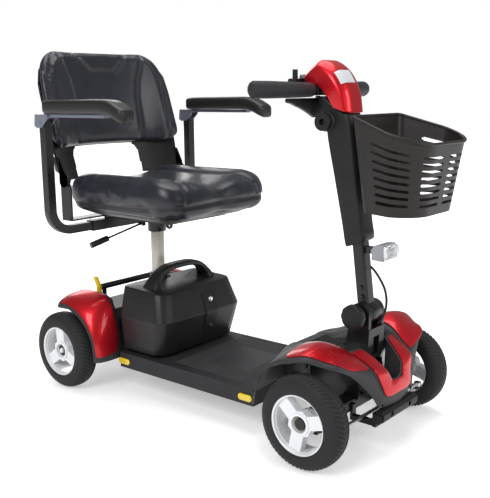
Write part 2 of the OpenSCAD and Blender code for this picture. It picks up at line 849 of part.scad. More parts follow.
// Outline of the battery box at one height. Its lid rises towards the rear by the slope given.
function battery_ring(x1, half, z, slope, t) = let (c = 14, x0 = battery_x0 + t) [for (p = [[x0, c - half],
    [x0 + c, -half], [x1 - 26, -half], [x1 - 4, 22 - half], [x1, 40 - half], [x1, half - 40],
    [x1 - 4, half - 22], [x1 - 26, half], [x0 + c, half], [x0, half - c]])
    [p.x, p.y, z + slope * (x1 - p.x)]];

module battery_solid(t) {
    loft([battery_ring(-145 - t, 164 - t, 127 + t, 0, t),
        battery_ring(-119 - t, battery_half - t, 229, 0, t),
        battery_ring(-143 - t, 154 - t, battery_top - t, 0.045, t)]);
}

module battery_case() {
    color("#3c3b3d") difference() {
        union() {
            difference() {
                battery_solid(0);
                battery_solid(4);
            }
            // walls of the notch round the seat post socket
            block([battery_x0 + 1, -36, 128], [-265, 36, 313]);
            // carrying handle
            translate([-240, 0, 0])
                rotate([90, 0, 90])
                    linear_extrude(36)
                        polygon(concat([[-84, 305], [-78, 330]], arc([-42, 340], 35, 150, 100, 5),
                            arc([42, 340], 35, 80, 30, 5), [[78, 330], [84, 305]]));
            // lock cap
            rod([-128, 31, 255], [-122, 31, 255], 15);
        }
        block([battery_x0 - 10, -32.5, 120], [post_x + 8, 32.5, 330]);
        translate([post_x + 8, 0, 120])
            cylinder(h = 220, r = 32.5);
        // finger opening of the handle
        translate([-250, 0, 0])
            rotate([90, 0, 90])
                linear_extrude(60)
                    polygon(concat([[-48, 322], [-44, 340]], arc([-30, 346], 12, 150, 95, 3),
                        arc([30, 346], 12, 85, 30, 3), [[44, 340], [48, 322]]));
    }
}

module battery_cells() {
    color("#57595c") both()
        block([-262, 6, 134], [-160, 146, 226]);
}

module freewheel_lever() {
    color("#f2c60c") union() {
        across(-410, 212, -153, -140, 6);
        profile([[-416, 212], [-404, 212], [-412, 300], [-426, 324], [-440, 322], [-426, 298]], -152, -144);
    }
}

// ---- seat ------------------------------------------------------------------------------------

module seat_post() {
    color("#d9d6cf") translate([post_x, 0, 150])
        cylinder(h = 352, r = post_d / 2);
}

lever_y = -40;
lever_z = 484;

module seat_frame() {
    plate_z = 506;
    tube = arm_tube + 6;
    color("#232326") difference() {
        union() {
            translate([post_x, 0, 458])
                cylinder(h = 50, r = 28);
            block([-466, -120, plate_z], [-140, 120, plate_z + 5]);
            block([receiver_x - tube / 2, -150, receiver_z - tube / 2],
                [receiver_x + tube / 2, 150, receiver_z + tube / 2]);
            both() block([receiver_x - 10, 70, receiver_z + 10], [receiver_x + 10, 84, plate_z + 1]);
            // arms that carry the backrest hinge
            both() block([-462, 110, plate_z], [-418, 236, plate_z + 5]);
            both() block([-462, 231, plate_z], [-418, 236, hinge_z - 12]);
            both() across(hinge_x, hinge_z, 231, 236, 17);
            both() profile([[-462, 590], [-418, 590], [-424, 620], [-454, 620]], 231, 236);
            both() across(hinge_x, hinge_z, 220, 242, 5);
            // hanging eyelets under the front of the seat
            for (x = [-249, -218])
                profile(concat([[x - 12, plate_z + 1]], arc([x, 489], 12, 180, 360, 8),
                    [[x + 12, plate_z + 1]]), -43, -37);
            // ears and pin of the swivel lever
            for (x = [-345, -328])
                block([x, lever_y - 6, lever_z - 8], [x + 3, lever_y + 6, plate_z + 1]);
            along_x(-346, -324, lever_y, lever_z, 2.5);
        }
        translate([post_x, 0, 450])
            cylinder(h = 53, r = post_d / 2 + 0.4);
        block([receiver_x - arm_tube / 2 - 0.5, -160, receiver_z - arm_tube / 2 - 0.5],
            [receiver_x + arm_tube / 2 + 0.5, 160, receiver_z + arm_tube / 2 + 0.5]);
        for (x = [-249, -218])
            across(x, 488, -50, -30, 5);
        // holes of the two arm clamps' screws, through the rear wall of the receiver
        both() along_x(receiver_x - 30, receiver_x - 6, 100, receiver_z, 4.4);
    }
}

module seat_pan() {
    color("#2a2a2c") difference() {
        union() {
            loft([seat_ring(30, 522.5, 0), seat_ring(6, 540, 0)]);
            block([-420, -100, 511.4], [-170, 100, 524]);
        }
        block([-400, -80, 508], [-190, 80, 519]);
    }
}

// Outline of the seat at one height, inset from its widest.
function seat_ring(inset, z, drop) = [for (p = concat(
    arc([-95, -150], 62 - inset, -90, 0, 5), arc([-95, 150], 62 - inset, 0, 90, 5),
    arc([-432, 148], 60 - inset, 90, 180, 5), arc([-432, -148], 60 - inset, 180, 270, 5)))
    [p.x, p.y, z - drop * max(0, (p.x + 300) / 260)]];

module seat_cushion() {
    color("#26272b") loft([seat_ring(8, 540.6, 0), seat_ring(0, 560, 0), seat_ring(0, 610, 0),
        seat_ring(14, 630, 4)]);
}

module swivel_lever() {
    color("#8c8f93") union() {
        difference() {
            along_x(-341.4, -328.6, lever_y, lever_z, 5.5);
            along_x(-350, -320, lever_y, lever_z, 2.9);
        }
        rod([-334, lever_y - 4, lever_z - 1.2], [-378, -200, 435], 3);
        rod([-364, -151, 450], [-379, -204, 434], 9);
    }
}

// The backrest's front face at one height and side position: a leaning, hollowed shell.
function back_edge_x(z) = hinge_x - (z - hinge_z) * 0.30;
function back_point(y, z) = let (k = z < 700 ? 88 : 88 - (z - 700) * 0.2)
    [back_edge_x(z) - k * (1 - pow(min(1, abs(y) / 245), 2.2)), y, z];
function back_half(z) = z < 750 ? 238 + (z - 600) * 0.12 : z < 860 ? 256 : z < 930 ? 256 - (z - 860) * 0.12
    : 248 - pow((z - 930) / 66, 2) * 88;
back_rows = [706, 730, 760, 800, 860, 900, 930, 955, 975, 990, 998];
back_cols = [-1, -0.92, -0.8, -0.65, -0.5, -0.25, 0, 0.25, 0.5, 0.65, 0.8, 0.92, 1];

module back_shell() {
    shell_rows = concat([621, 642, 665, 690], [for (z = back_rows) if (z < 995) z]);
    color("#232326") {
        difference() {
            sheet([for (z = shell_rows) [for (c = back_cols) back_point(c * (back_half(z) - 3), z)]],
                -9, -3);
            // open window between the two legs
            block([-700, -130, 500], [-300, 130, 694]);
            both() across(hinge_x, hinge_z, 218, 237.5, 21);
        }
        both() difference() {
            union() {
                across(hinge_x, hinge_z, 237, 244, 14);
                profile([[-474, 650], [-446, 610], [-428, 614], [-430, 640], [-452, 690], [-480, 690]],
                    237, 244);
            }
            across(hinge_x, hinge_z, 230, 250, 5.4);
        }
    }
}

module back_cushion() {
    front = [for (z = back_rows) [for (c = back_cols) back_point(c * back_half(z), z)]];
    color("#26272b")
        sheet(front, -0.4, 34);
}

flip_x = -450;
flip_z = 790;

module arm_tube(side) {
    bend = 62;
    s = arm_tube / 2;
    color("#2a2b2f") on_side(side) difference() {
        union() {
            block([receiver_x - s, 60, receiver_z - s], [receiver_x + s, arm_y - bend, receiver_z + s]);
            translate([receiver_x, arm_y - bend, receiver_z + bend])
                rotate([-90, 0, 90])
                    rotate_extrude(angle = 90, $fn = 64)
                        translate([bend - s, -s])
                            square([2 * s, 2 * s]);
            block([receiver_x - s, arm_y - s, receiver_z + bend], [receiver_x + s, arm_y + s, 800]);
        }
        across(flip_x, flip_z, arm_y - 20, arm_y + 20, 5.3);
    }
}

module arm_knob(side) {
    y = side * 100;
    color("#1d1d1f") union() {
        along_x(receiver_x - 46, receiver_x - 13, y, receiver_z, 4);
        along_x(receiver_x - 58, receiver_x - 44, y, receiver_z, 9);
        translate([receiver_x - 56, y - 16, receiver_z - 5])
            cube([9, 32, 10]);
    }
}

module armrest(side) {
    s = arm_tube / 2;
    color("#8f93a0") on_side(side) union() {
        for (y = [arm_y - s - 3.6, arm_y + s + 0.6])
            profile([[-474, 782], [-462, 776], [-440, 778], [-416, 800], [-416, 814], [-470, 814]],
                y, y + 3);
        block([-470, arm_y - s - 3.6, 805], [-416, arm_y + s + 3.6, 814]);
        block([-420, arm_y - 10, 806], [-184, arm_y + 10, 814]);
        across(flip_x, flip_z, arm_y - s - 5, arm_y + s + 5, 5);
    }
}

module arm_pad(side) {
    color("#232428") on_side(side) loft([for (s = [[-426, 25, 814.4, 846], [-415, 27.5, 814.4, 851],
        [-180, 27.5, 814.4, 851], [-135, 27.5, 806.6, 840], [-108, 25, 795, 824]])
        let (y = arm_y - 4, w = s[1], b = s[2], t = s[3])
        [[s[0], y - w, b], [s[0], y - w, t - 8], [s[0], y - w + 9, t], [s[0], y + w - 9, t],
        [s[0], y + w, t - 8], [s[0], y + w, b]]]);
}

main_frame();
floor_pan();
deck_mat();
side_reflectors();
front_grille();
front_shroud();
front_red_panels();
bumper_pad();
rear_shroud();
rear_red_panels();
transaxle();
drive_motor();
controller();
tyre(rtilt_x, -1);  // rear_tyre_r
tyre(rtilt_x, 1);  // rear_tyre_l
rear_rim(-1);  // rear_rim_r
rear_rim(1);  // rear_rim_l
tyre(front_x, -1);  // front_tyre_r
tyre(front_x, 1);  // front_tyre_l
front_rim(-1);  // front_rim_r
front_rim(1);  // front_rim_l
knuckle(-1);  // knuckle_r
knuckle(1);  // knuckle_l
tie_rod();
steering_base();
tilt_knob();
tiller_tube();
column_cover();
head_cover();
console();
handlebar();
handlebar_grips();
charger_socket();
throttle_lever();
ignition_key();
speed_dial();
horn_button();
basket();
lamp_housing();
lamp_lens();
control_cable();
battery_case();
battery_cells();
freewheel_lever();
anti_tip_wheels();
seat_post();
seat_frame();
seat_pan();
seat_cushion();
swivel_lever();
back_shell();
back_cushion();
arm_tube(-1);  // arm_tube_r
arm_tube(1);  // arm_tube_l
arm_knob(-1);  // arm_knob_r
arm_knob(1);  // arm_knob_l
armrest(-1);  // armrest_r
armrest(1);  // armrest_l
arm_pad(-1);  // arm_pad_r
arm_pad(1);  // arm_pad_l
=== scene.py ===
# %% [markdown]
# # A four-wheeled mobility scooter, finished in Blender
# The imported model already has every part at its real size and on its joint. This lesson gives it
# the surfaces of the real thing: gloss red panels, grained dark mouldings, stitched vinyl,
# moulded rubber tread and lacquered wheels. We first load the frame. Nothing made here may outgrow
# it.

# %% Load the frame
import json
import bpy
import bmesh
import numpy as np
from mathutils import Matrix, Vector

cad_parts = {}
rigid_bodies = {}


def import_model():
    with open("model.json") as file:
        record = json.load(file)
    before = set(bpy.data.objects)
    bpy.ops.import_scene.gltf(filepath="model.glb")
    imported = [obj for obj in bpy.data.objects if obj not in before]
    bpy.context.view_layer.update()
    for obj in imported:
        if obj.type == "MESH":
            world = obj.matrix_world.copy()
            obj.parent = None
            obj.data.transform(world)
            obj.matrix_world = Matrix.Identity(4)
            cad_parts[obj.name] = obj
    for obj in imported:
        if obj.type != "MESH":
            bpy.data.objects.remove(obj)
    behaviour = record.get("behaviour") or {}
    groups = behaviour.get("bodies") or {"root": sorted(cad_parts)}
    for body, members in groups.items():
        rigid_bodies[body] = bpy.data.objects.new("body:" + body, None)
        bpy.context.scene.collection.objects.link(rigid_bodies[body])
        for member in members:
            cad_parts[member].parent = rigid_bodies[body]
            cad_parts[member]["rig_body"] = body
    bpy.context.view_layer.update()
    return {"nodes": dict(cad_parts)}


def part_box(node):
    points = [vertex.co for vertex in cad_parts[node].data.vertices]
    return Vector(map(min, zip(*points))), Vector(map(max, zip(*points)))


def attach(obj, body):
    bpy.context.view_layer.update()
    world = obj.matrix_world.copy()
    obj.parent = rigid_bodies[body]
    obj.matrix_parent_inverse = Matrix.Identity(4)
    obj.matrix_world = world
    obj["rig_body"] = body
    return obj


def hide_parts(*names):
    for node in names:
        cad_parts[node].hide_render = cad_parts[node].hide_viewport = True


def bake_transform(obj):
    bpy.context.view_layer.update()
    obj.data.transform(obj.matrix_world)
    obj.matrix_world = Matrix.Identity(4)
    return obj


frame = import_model()
scene = bpy.context.scene
nodes = frame["nodes"]

# %% [markdown]
# ## The camera
# A product picture like this is taken from the front right, a little above the seat, with a long
# lens. The camera's right, up and backward directions are the columns of its matrix. They are
# unit vectors at right angles, so two of them and a cross product are enough.

# %% Place the camera
right = Vector((0.7705, 0.6374, -0.0105)).normalized()
back = right.cross(Vector((-0.1153, 0.1556, 0.9811))).normalized()
up = back.cross(right)
camera_data = bpy.data.cameras.new("camera")
camera_data.lens = 57.5
camera_data.sensor_width = 36
camera = bpy.data.objects.new("camera", camera_data)
scene.collection.objects.link(camera)
camera.matrix_world = Matrix((
    (right.x, up.x, back.x, 1.4239),
    (right.y, up.y, back.y, -1.6701),
    (right.z, up.z, back.z, 0.8684),
    (0, 0, 0, 1)))
scene.camera = camera
print("camera at", [round(v, 3) for v in camera.location])

# %% [markdown]
# ## Joining shader nodes
# The light, the floor and every finish are small node trees. Three short functions make them easy
# to read: one makes a node, one does a sum, and one carries a range of values over to another.

# %% Node helpers
def node(tree, kind, links=(), **values):
    """A node of one kind with its plain values set and its inputs joined to other outputs."""
    new = tree.nodes.new("ShaderNode" + kind)
    for key, value in values.items():
        if key in new.inputs:
            new.inputs[key].default_value = value
        else:
            setattr(new, key, value)
    for name, output in dict(links).items():
        tree.links.new(output, new.inputs[name])
    return new

def maths(tree, operation, a, b):
    """One Math node; a and b may be numbers or outputs."""
    new = tree.nodes.new("ShaderNodeMath")
    new.operation = operation
    for slot, value in enumerate((a, b)):
        if isinstance(value, (int, float)):
            new.inputs[slot].default_value = value
        else:
            tree.links.new(value, new.inputs[slot])
    return new.outputs[0]

def spread(tree, value, low, high, out_low, out_high):
    """A value between low and high carried over to out_low and out_high, and held at the ends."""
    new = tree.nodes.new("ShaderNodeMapRange")
    tree.links.new(value, new.inputs["Value"])
    for key, number in (("From Min", low), ("From Max", high), ("To Min", out_low), ("To Max", out_high)):
        if isinstance(number, (int, float)):
            new.inputs[key].default_value = number
        else:
            tree.links.new(number, new.inputs[key])
    return new.outputs["Result"]

# %% [markdown]
# ## Light and floor
# Dark vinyl and plastic only show their shape by what they reflect, so the lamps are big soft
# panels: one high at the left, a weaker one at the right, one over the top and a strip behind.
# The floor is pale and keeps the shadow. Rays that come straight from the camera, or off shiny
# metal, also see some extra white on it that grows with distance, so the ground fades to white.

# %% Lamps, world and floor
def soft_lamp(name, place, target, size, power):
    """A square area lamp at a place, turned so that its -Z axis points at the target."""
    data = bpy.data.lights.new(name, "AREA")
    data.shape = "SQUARE"
    data.size = size
    data.energy = power
    lamp = bpy.data.objects.new(name, data)
    lamp.location = place
    lamp.rotation_euler = (Vector(target) - Vector(place)).to_track_quat("-Z", "Y").to_euler()
    scene.collection.objects.link(lamp)

soft_lamp("key_panel", (0.6, -3.0, 2.6), (0, 0, 0.5), 1.6, 72)
soft_lamp("side_panel", (3.2, 0.6, 1.7), (0, 0, 0.5), 1.4, 36)
soft_lamp("top_panel", (-0.2, 0.3, 3.2), (0, 0, 0.4), 2.2, 60)
soft_lamp("rear_panel", (-2.8, 1.6, 1.8), (0, 0, 0.6), 1.6, 30)

world = bpy.data.worlds.new("studio")
scene.world = world
world.use_nodes = True
tree = world.node_tree
sky = tree.nodes["Background"]
sky.inputs["Color"].default_value = (0.97, 0.98, 1.0, 1)
sky.inputs["Strength"].default_value = 0.30
seen = node(tree, "Background", Color=(1, 1, 1, 1), Strength=1.0)
path = node(tree, "LightPath")
plainly = maths(tree, "MAXIMUM", path.outputs["Is Camera Ray"], path.outputs["Is Transmission Ray"])
mix = node(tree, "MixShader", {"Fac": plainly, 1: sky.outputs[0], 2: seen.outputs[0]})
tree.links.new(mix.outputs[0], tree.nodes["World Output"].inputs["Surface"])

floor_mesh = bpy.data.meshes.new("floor")
reach = 14
floor_mesh.from_pydata([(-reach, -reach, 0), (reach, -reach, 0), (reach, reach, 0), (-reach, reach, 0)], [],
    [(0, 1, 2, 3)])
floor = bpy.data.objects.new("floor", floor_mesh)
floor.location.z = -0.0005
scene.collection.objects.link(floor)
paper = bpy.data.materials.new("floor_paper")
paper.use_nodes = True
tree = paper.node_tree
diffuse = tree.nodes["Principled BSDF"]
diffuse.inputs["Base Color"].default_value = (0.86, 0.86, 0.87, 1)
diffuse.inputs["Roughness"].default_value = 0.9
path = node(tree, "LightPath")
shiny = maths(tree, "MAXIMUM", path.outputs["Is Camera Ray"], path.outputs["Is Glossy Ray"])
place = node(tree, "TexCoord")
away = node(tree, "VectorMath", {0: place.outputs["Object"]}, operation="LENGTH")
fade = spread(tree, away.outputs["Value"], 0.9, 3.2, 0.42, 1.0)
glow = node(tree, "Emission", {"Strength": maths(tree, "MULTIPLY", shiny, fade)}, Color=(1, 1, 1, 1))
add = node(tree, "AddShader", {0: diffuse.outputs[0], 1: glow.outputs[0]})
tree.links.new(add.outputs[0], tree.nodes["Material Output"].inputs["Surface"])
floor_mesh.materials.append(paper)
scene.view_settings.view_transform = "Standard"

# %% [markdown]
# ## Effects that several finishes share
# Moulded plastic, vinyl, paint and rubber all need a fine uneven surface, but each at its own
# scale. So each effect is one node group with named sockets, built once, and every material sets
# its own values. A group gives back colours, roughness and heights only; the shader itself stays
# in the material.

# %% Helpers for node groups
def new_group(name, inputs, outputs):
    """An empty shader group with float or colour sockets, given as {name: default}."""
    group = bpy.data.node_groups.new(name, "ShaderNodeTree")
    for key, value in inputs.items():
        kind = "NodeSocketColor" if isinstance(value, tuple) else "NodeSocketFloat"
        socket = group.interface.new_socket(key, in_out="INPUT", socket_type=kind)
        socket.default_value = value
    for key in outputs:
        kind = "NodeSocketColor" if key == "Color" else "NodeSocketFloat"
        group.interface.new_socket(key, in_out="OUTPUT", socket_type=kind)
    return group, group.nodes.new("NodeGroupInput"), group.nodes.new("NodeGroupOutput")

# %% Group: grain of a moulded surface
# Height is small rounded pits from Voronoi distance, and colour and roughness drift slowly.
grain, source, result = new_group("moulded_grain",
    {"Colour": (0.05, 0.05, 0.05, 1), "Pale": (0.1, 0.1, 0.1, 1), "Scale": 900.0, "Roughness": 0.5,
     "Patchy": 0.12}, ["Color", "Roughness", "Height"])
coords = node(grain, "TexCoord")
pits = node(grain, "TexVoronoi", {"Vector": coords.outputs["Object"], "Scale": source.outputs["Scale"]})
drift = node(grain, "TexNoise", {"Vector": coords.outputs["Object"]}, Scale=14.0, Detail=4.0)
speck = node(grain, "TexNoise", {"Vector": coords.outputs["Object"], "Scale": source.outputs["Scale"]},
    Detail=2.0)
both_parts = maths(grain, "ADD", maths(grain, "MULTIPLY", drift.outputs["Fac"], 0.7),
    maths(grain, "MULTIPLY", speck.outputs["Fac"], 0.3))
blend = node(grain, "Mix", data_type="RGBA")
grain.links.new(spread(grain, both_parts, 0.35, 0.7, 0.0, 1.0), blend.inputs["Factor"])
grain.links.new(source.outputs["Colour"], blend.inputs["A"])
grain.links.new(source.outputs["Pale"], blend.inputs["B"])
grain.links.new(blend.outputs["Result"], result.inputs["Color"])
shift = maths(grain, "MULTIPLY", maths(grain, "SUBTRACT", drift.outputs["Fac"], 0.5),
    source.outputs["Patchy"])
grain.links.new(maths(grain, "ADD", source.outputs["Roughness"], shift), result.inputs["Roughness"])
grain.links.new(pits.outputs["Distance"], result.inputs["Height"])

# %% Group: fine scratches and dust
# Long thin noise makes hairline scratches. They lift roughness and pale the colour a little.
wear, source, result = new_group("scuffs",
    {"Colour": (0.5, 0.5, 0.5, 1), "Scuffed": (0.6, 0.6, 0.6, 1), "Amount": 0.3, "Roughness": 0.3,
     "Stretch": 40.0}, ["Color", "Roughness", "Height"])
coords = node(wear, "TexCoord")
lengthen = node(wear, "Mapping", {"Vector": coords.outputs["Object"]})
lengthen.inputs["Scale"].default_value = (1.0, 1.0, 0.06)
lengthen.inputs["Rotation"].default_value = (0.5, 0.35, 0.2)
hairs = node(wear, "TexNoise", {"Vector": lengthen.outputs["Vector"], "Scale": maths(wear, "MULTIPLY",
    source.outputs["Stretch"], 10.0)}, Detail=3.0)
patch = node(wear, "TexNoise", {"Vector": coords.outputs["Object"]}, Scale=9.0, Detail=3.0)
lines = spread(wear, hairs.outputs["Fac"], 0.55, 0.75, 0.0, 1.0)
mask = maths(wear, "MULTIPLY", maths(wear, "MULTIPLY", lines, spread(wear, patch.outputs["Fac"], 0.4, 0.7,
    0.1, 1.0)), source.outputs["Amount"])
blend = node(wear, "Mix", data_type="RGBA")
wear.links.new(mask, blend.inputs["Factor"])
wear.links.new(source.outputs["Colour"], blend.inputs["A"])
wear.links.new(source.outputs["Scuffed"], blend.inputs["B"])
wear.links.new(blend.outputs["Result"], result.inputs["Color"])
wear.links.new(maths(wear, "ADD", source.outputs["Roughness"], maths(wear, "MULTIPLY", mask, 0.35)),
    result.inputs["Roughness"])
wear.links.new(hairs.outputs["Fac"], result.inputs["Height"])
print("groups", [g.name for g in bpy.data.node_groups])

# %% [markdown]
# ## The finishes
# Each real finish gets one material. Most are a group plus a Principled shader whose fixed
# values, such as coat and sheen, are typed straight on its sockets.

# %% Finish makers
def finish(name, group, sockets, bump=0.1, distance=0.0004, shader=None):
    """A material: group colour and roughness into a Principled shader, its height through Bump."""
    material = bpy.data.materials.new(name)
    material.use_nodes = True
    tree = material.node_tree
    principled = tree.nodes["Principled BSDF"]
    effect = tree.nodes.new("ShaderNodeGroup")
    effect.node_tree = group
    for key, value in sockets.items():
        effect.inputs[key].default_value = value
    tree.links.new(effect.outputs["Color"], principled.inputs["Base Color"])
    tree.links.new(effect.outputs["Roughness"], principled.inputs["Roughness"])
    relief = node(tree, "Bump", {"Height": effect.outputs["Height"]}, Strength=bump, Distance=distance)
    tree.links.new(relief.outputs["Normal"], principled.inputs["Normal"])
    for key, value in (shader or {}).items():
        principled.inputs[key].default_value = value
    return material

def tone(r, g, b):
    """A colour with full alpha."""
    return (r, g, b, 1.0)

def moulding(name, colour, scale=900.0, roughness=0.5, bump=0.25, **shader):
    """Grained plastic or rubber: the pale spots are a third brighter than the colour. Dark grained
    mouldings shine less than smooth ones, so the specular level starts low."""
    pale = tuple(min(1.0, c * 1.35 + 0.002) for c in colour[:3]) + (1.0,)
    shader = {"Specular IOR Level": 0.26, **shader}
    return finish(name, grain, {"Colour": colour, "Pale": pale, "Scale": scale, "Roughness": roughness},
        bump=bump, shader=shader)

def coated(name, colour, scuffed, roughness=0.3, amount=0.3, bump=0.05, **shader):
    """Painted, plated or lacquered metal with hairline marks."""
    return finish(name, wear, {"Colour": colour, "Scuffed": scuffed, "Roughness": roughness,
        "Amount": amount}, bump=bump, distance=0.0002, shader=shader)

shroud_grey = moulding("shroud_grey", tone(0.035, 0.035, 0.037), 1100.0, 0.48)
dark_moulding = moulding("dark_moulding", tone(0.010, 0.010, 0.011), 1100.0, 0.42)
deck_grey = moulding("deck_grey", tone(0.022, 0.022, 0.024), 900.0, 0.55)
battery_charcoal = moulding("battery_charcoal", tone(0.016, 0.0155, 0.017), 1500.0, 0.34)
basket_brown = moulding("basket_brown", tone(0.015, 0.012, 0.011), 1500.0, 0.40)
grip_rubber = moulding("grip_rubber", tone(0.018, 0.018, 0.020), 1800.0, 0.6, 0.35)
tyre_rubber = moulding("tyre_rubber", tone(0.015, 0.015, 0.016), 700.0, 0.62, 0.3)
deck_rubber = moulding("deck_rubber", tone(0.034, 0.034, 0.036), 1400.0, 0.5, 0.2)
black_rubber = moulding("black_rubber", tone(0.014, 0.014, 0.015), 1200.0, 0.5)
shell_black = moulding("shell_black", tone(0.008, 0.008, 0.009), 700.0, 0.30, 0.5)
yellow_plastic = moulding("yellow_plastic", tone(0.83, 0.50, 0.01), 400.0, 0.3, 0.05)
lamp_grey = moulding("lamp_grey", tone(0.30, 0.31, 0.33), 900.0, 0.3, 0.06)
cell_grey = moulding("cell_grey", tone(0.09, 0.095, 0.10), 500.0, 0.5)
frame_black = coated("frame_black", tone(0.010, 0.010, 0.011), tone(0.06, 0.06, 0.064), 0.30, 0.25,
    **{"Specular IOR Level": 0.35})
arm_lacquer = coated("arm_lacquer", tone(0.23, 0.25, 0.31), tone(0.4, 0.42, 0.46), 0.28, 0.3, Metallic=0.6)
wheel_lacquer = coated("wheel_lacquer", tone(0.84, 0.85, 0.87), tone(0.66, 0.66, 0.67), 0.28, 0.2,
    **{"Metallic": 0.15, "Coat Weight": 0.4, "Coat Roughness": 0.12})
post_steel = coated("post_steel", tone(0.60, 0.57, 0.50), tone(0.40, 0.38, 0.33), 0.30, 0.4, Metallic=0.35)
chrome = coated("chrome", tone(0.80, 0.78, 0.74), tone(0.6, 0.58, 0.55), 0.08, 0.4, Metallic=1.0)
plain_steel = coated("plain_steel", tone(0.50, 0.50, 0.52), tone(0.36, 0.35, 0.34), 0.34, 0.5, Metallic=1.0)
cast_alloy = coated("cast_alloy", tone(0.42, 0.43, 0.45), tone(0.3, 0.3, 0.3), 0.5, 0.4, Metallic=1.0)
bolt_black = coated("bolt_black", tone(0.05, 0.05, 0.052), tone(0.2, 0.2, 0.2), 0.38, 0.5, Metallic=0.9)
bearing_beige = moulding("bearing_beige", tone(0.33, 0.32, 0.27), 700.0, 0.5)
plate_silver = coated("plate_silver", tone(0.62, 0.64, 0.66), tone(0.5, 0.5, 0.5), 0.3, 0.2)
print("plain finishes", len(bpy.data.materials))

# %% [markdown]
# ## Red panels
# The panels are red with metal flake under clear lacquer. Tiny Voronoi cells, each with its own
# random grey, stand for the flakes: they brighten the red, and the clear coat on top gives the
# sharp highlight.

# %% Flake red
flake, source, result = new_group("metal_flake",
    {"Colour": (0.5, 0.01, 0.02, 1), "Bright": (0.8, 0.03, 0.04, 1), "Scale": 2200.0, "Roughness": 0.35},
    ["Color", "Roughness", "Height"])
coords = node(flake, "TexCoord")
cells = node(flake, "TexVoronoi", {"Vector": coords.outputs["Object"], "Scale": source.outputs["Scale"]})
grey = node(flake, "SeparateColor", {"Color": cells.outputs["Color"]})
cloud = node(flake, "TexNoise", {"Vector": coords.outputs["Object"]}, Scale=7.0, Detail=2.0)
blend = node(flake, "Mix", data_type="RGBA")
flake.links.new(maths(flake, "MULTIPLY", grey.outputs[0], spread(flake, cloud.outputs["Fac"], 0.3, 0.7, 0.5,
    1.0)), blend.inputs["Factor"])
flake.links.new(source.outputs["Colour"], blend.inputs["A"])
flake.links.new(source.outputs["Bright"], blend.inputs["B"])
flake.links.new(blend.outputs["Result"], result.inputs["Color"])
flake.links.new(maths(flake, "ADD", source.outputs["Roughness"], maths(flake, "MULTIPLY", grey.outputs[1],
    0.12)), result.inputs["Roughness"])
flake.links.new(grey.outputs[2], result.inputs["Height"])
flake_red = finish("flake_red", flake,
    {"Colour": tone(0.45, 0.002, 0.008), "Bright": tone(0.74, 0.008, 0.018)},
    bump=0.03, distance=0.0002, shader={"Metallic": 0.75, "Coat Weight": 0.4, "Coat Roughness": 0.05})

# %% [markdown]
# ## Vinyl
# Upholstery vinyl has leathery pebbles a millimetre across and a soft sheen. Along each seam the
# colour is darkened into a line, painted shade for the sunk crease. The pieces carry a "seam"
# attribute, the distance in metres to the nearest seam, so the line follows the sewn shape wherever it bends.

# %% Vinyl and its seams
pebble, source, result = new_group("pebbled_vinyl",
    {"Colour": (0.02, 0.02, 0.024, 1), "Pale": (0.035, 0.036, 0.042, 1), "Scale": 620.0, "Roughness": 0.36},
    ["Color", "Roughness", "Height"])
coords = node(pebble, "TexCoord")
stones = node(pebble, "TexVoronoi", {"Vector": coords.outputs["Object"], "Scale": source.outputs["Scale"]})
stones.feature = "SMOOTH_F1"
folds = node(pebble, "TexNoise", {"Vector": coords.outputs["Object"]}, Scale=9.0, Detail=2.0)
seam = node(pebble, "Attribute", attribute_name="seam")
line = spread(pebble, seam.outputs["Fac"], 0.0008, 0.0028, 1.0, 0.0)
blend = node(pebble, "Mix", data_type="RGBA")
pebble.links.new(spread(pebble, folds.outputs["Fac"], 0.35, 0.7, 0.0, 1.0), blend.inputs["Factor"])
pebble.links.new(source.outputs["Colour"], blend.inputs["A"])
pebble.links.new(source.outputs["Pale"], blend.inputs["B"])
# Painted shade: the colour darkens towards each seam, standing in for the shade in its sunk crease.
seam_crease_shade = node(pebble, "Mix", {"A": blend.outputs["Result"]}, data_type="RGBA")
seam_crease_shade.inputs["B"].default_value = (0.004, 0.004, 0.005, 1)
pebble.links.new(maths(pebble, "MULTIPLY", line, 0.85), seam_crease_shade.inputs["Factor"])
pebble.links.new(seam_crease_shade.outputs["Result"], result.inputs["Color"])
pebble.links.new(maths(pebble, "ADD", source.outputs["Roughness"], maths(pebble, "ADD",
    maths(pebble, "MULTIPLY", line, 0.3), spread(pebble, folds.outputs["Fac"], 0.3, 0.7, -0.02, 0.03))),
    result.inputs["Roughness"])
pebble.links.new(maths(pebble, "ADD", stones.outputs["Distance"], maths(pebble, "MULTIPLY",
    folds.outputs["Fac"], 0.25)), result.inputs["Height"])
vinyl = finish("black_vinyl", pebble,
    {"Colour": tone(0.0085, 0.0092, 0.0145), "Pale": tone(0.0145, 0.0158, 0.0245), "Roughness": 0.33},
    bump=0.35, distance=0.0005, shader={"Sheen Weight": 0.05, "Specular IOR Level": 0.45})
pad_gloss = finish("pad_gloss", pebble,
    {"Colour": tone(0.006, 0.006, 0.007), "Pale": tone(0.010, 0.010, 0.012), "Scale": 900.0,
     "Roughness": 0.2},
    bump=0.12, distance=0.0003,
    shader={"Coat Weight": 0.2, "Coat Roughness": 0.1, "Specular IOR Level": 0.4})

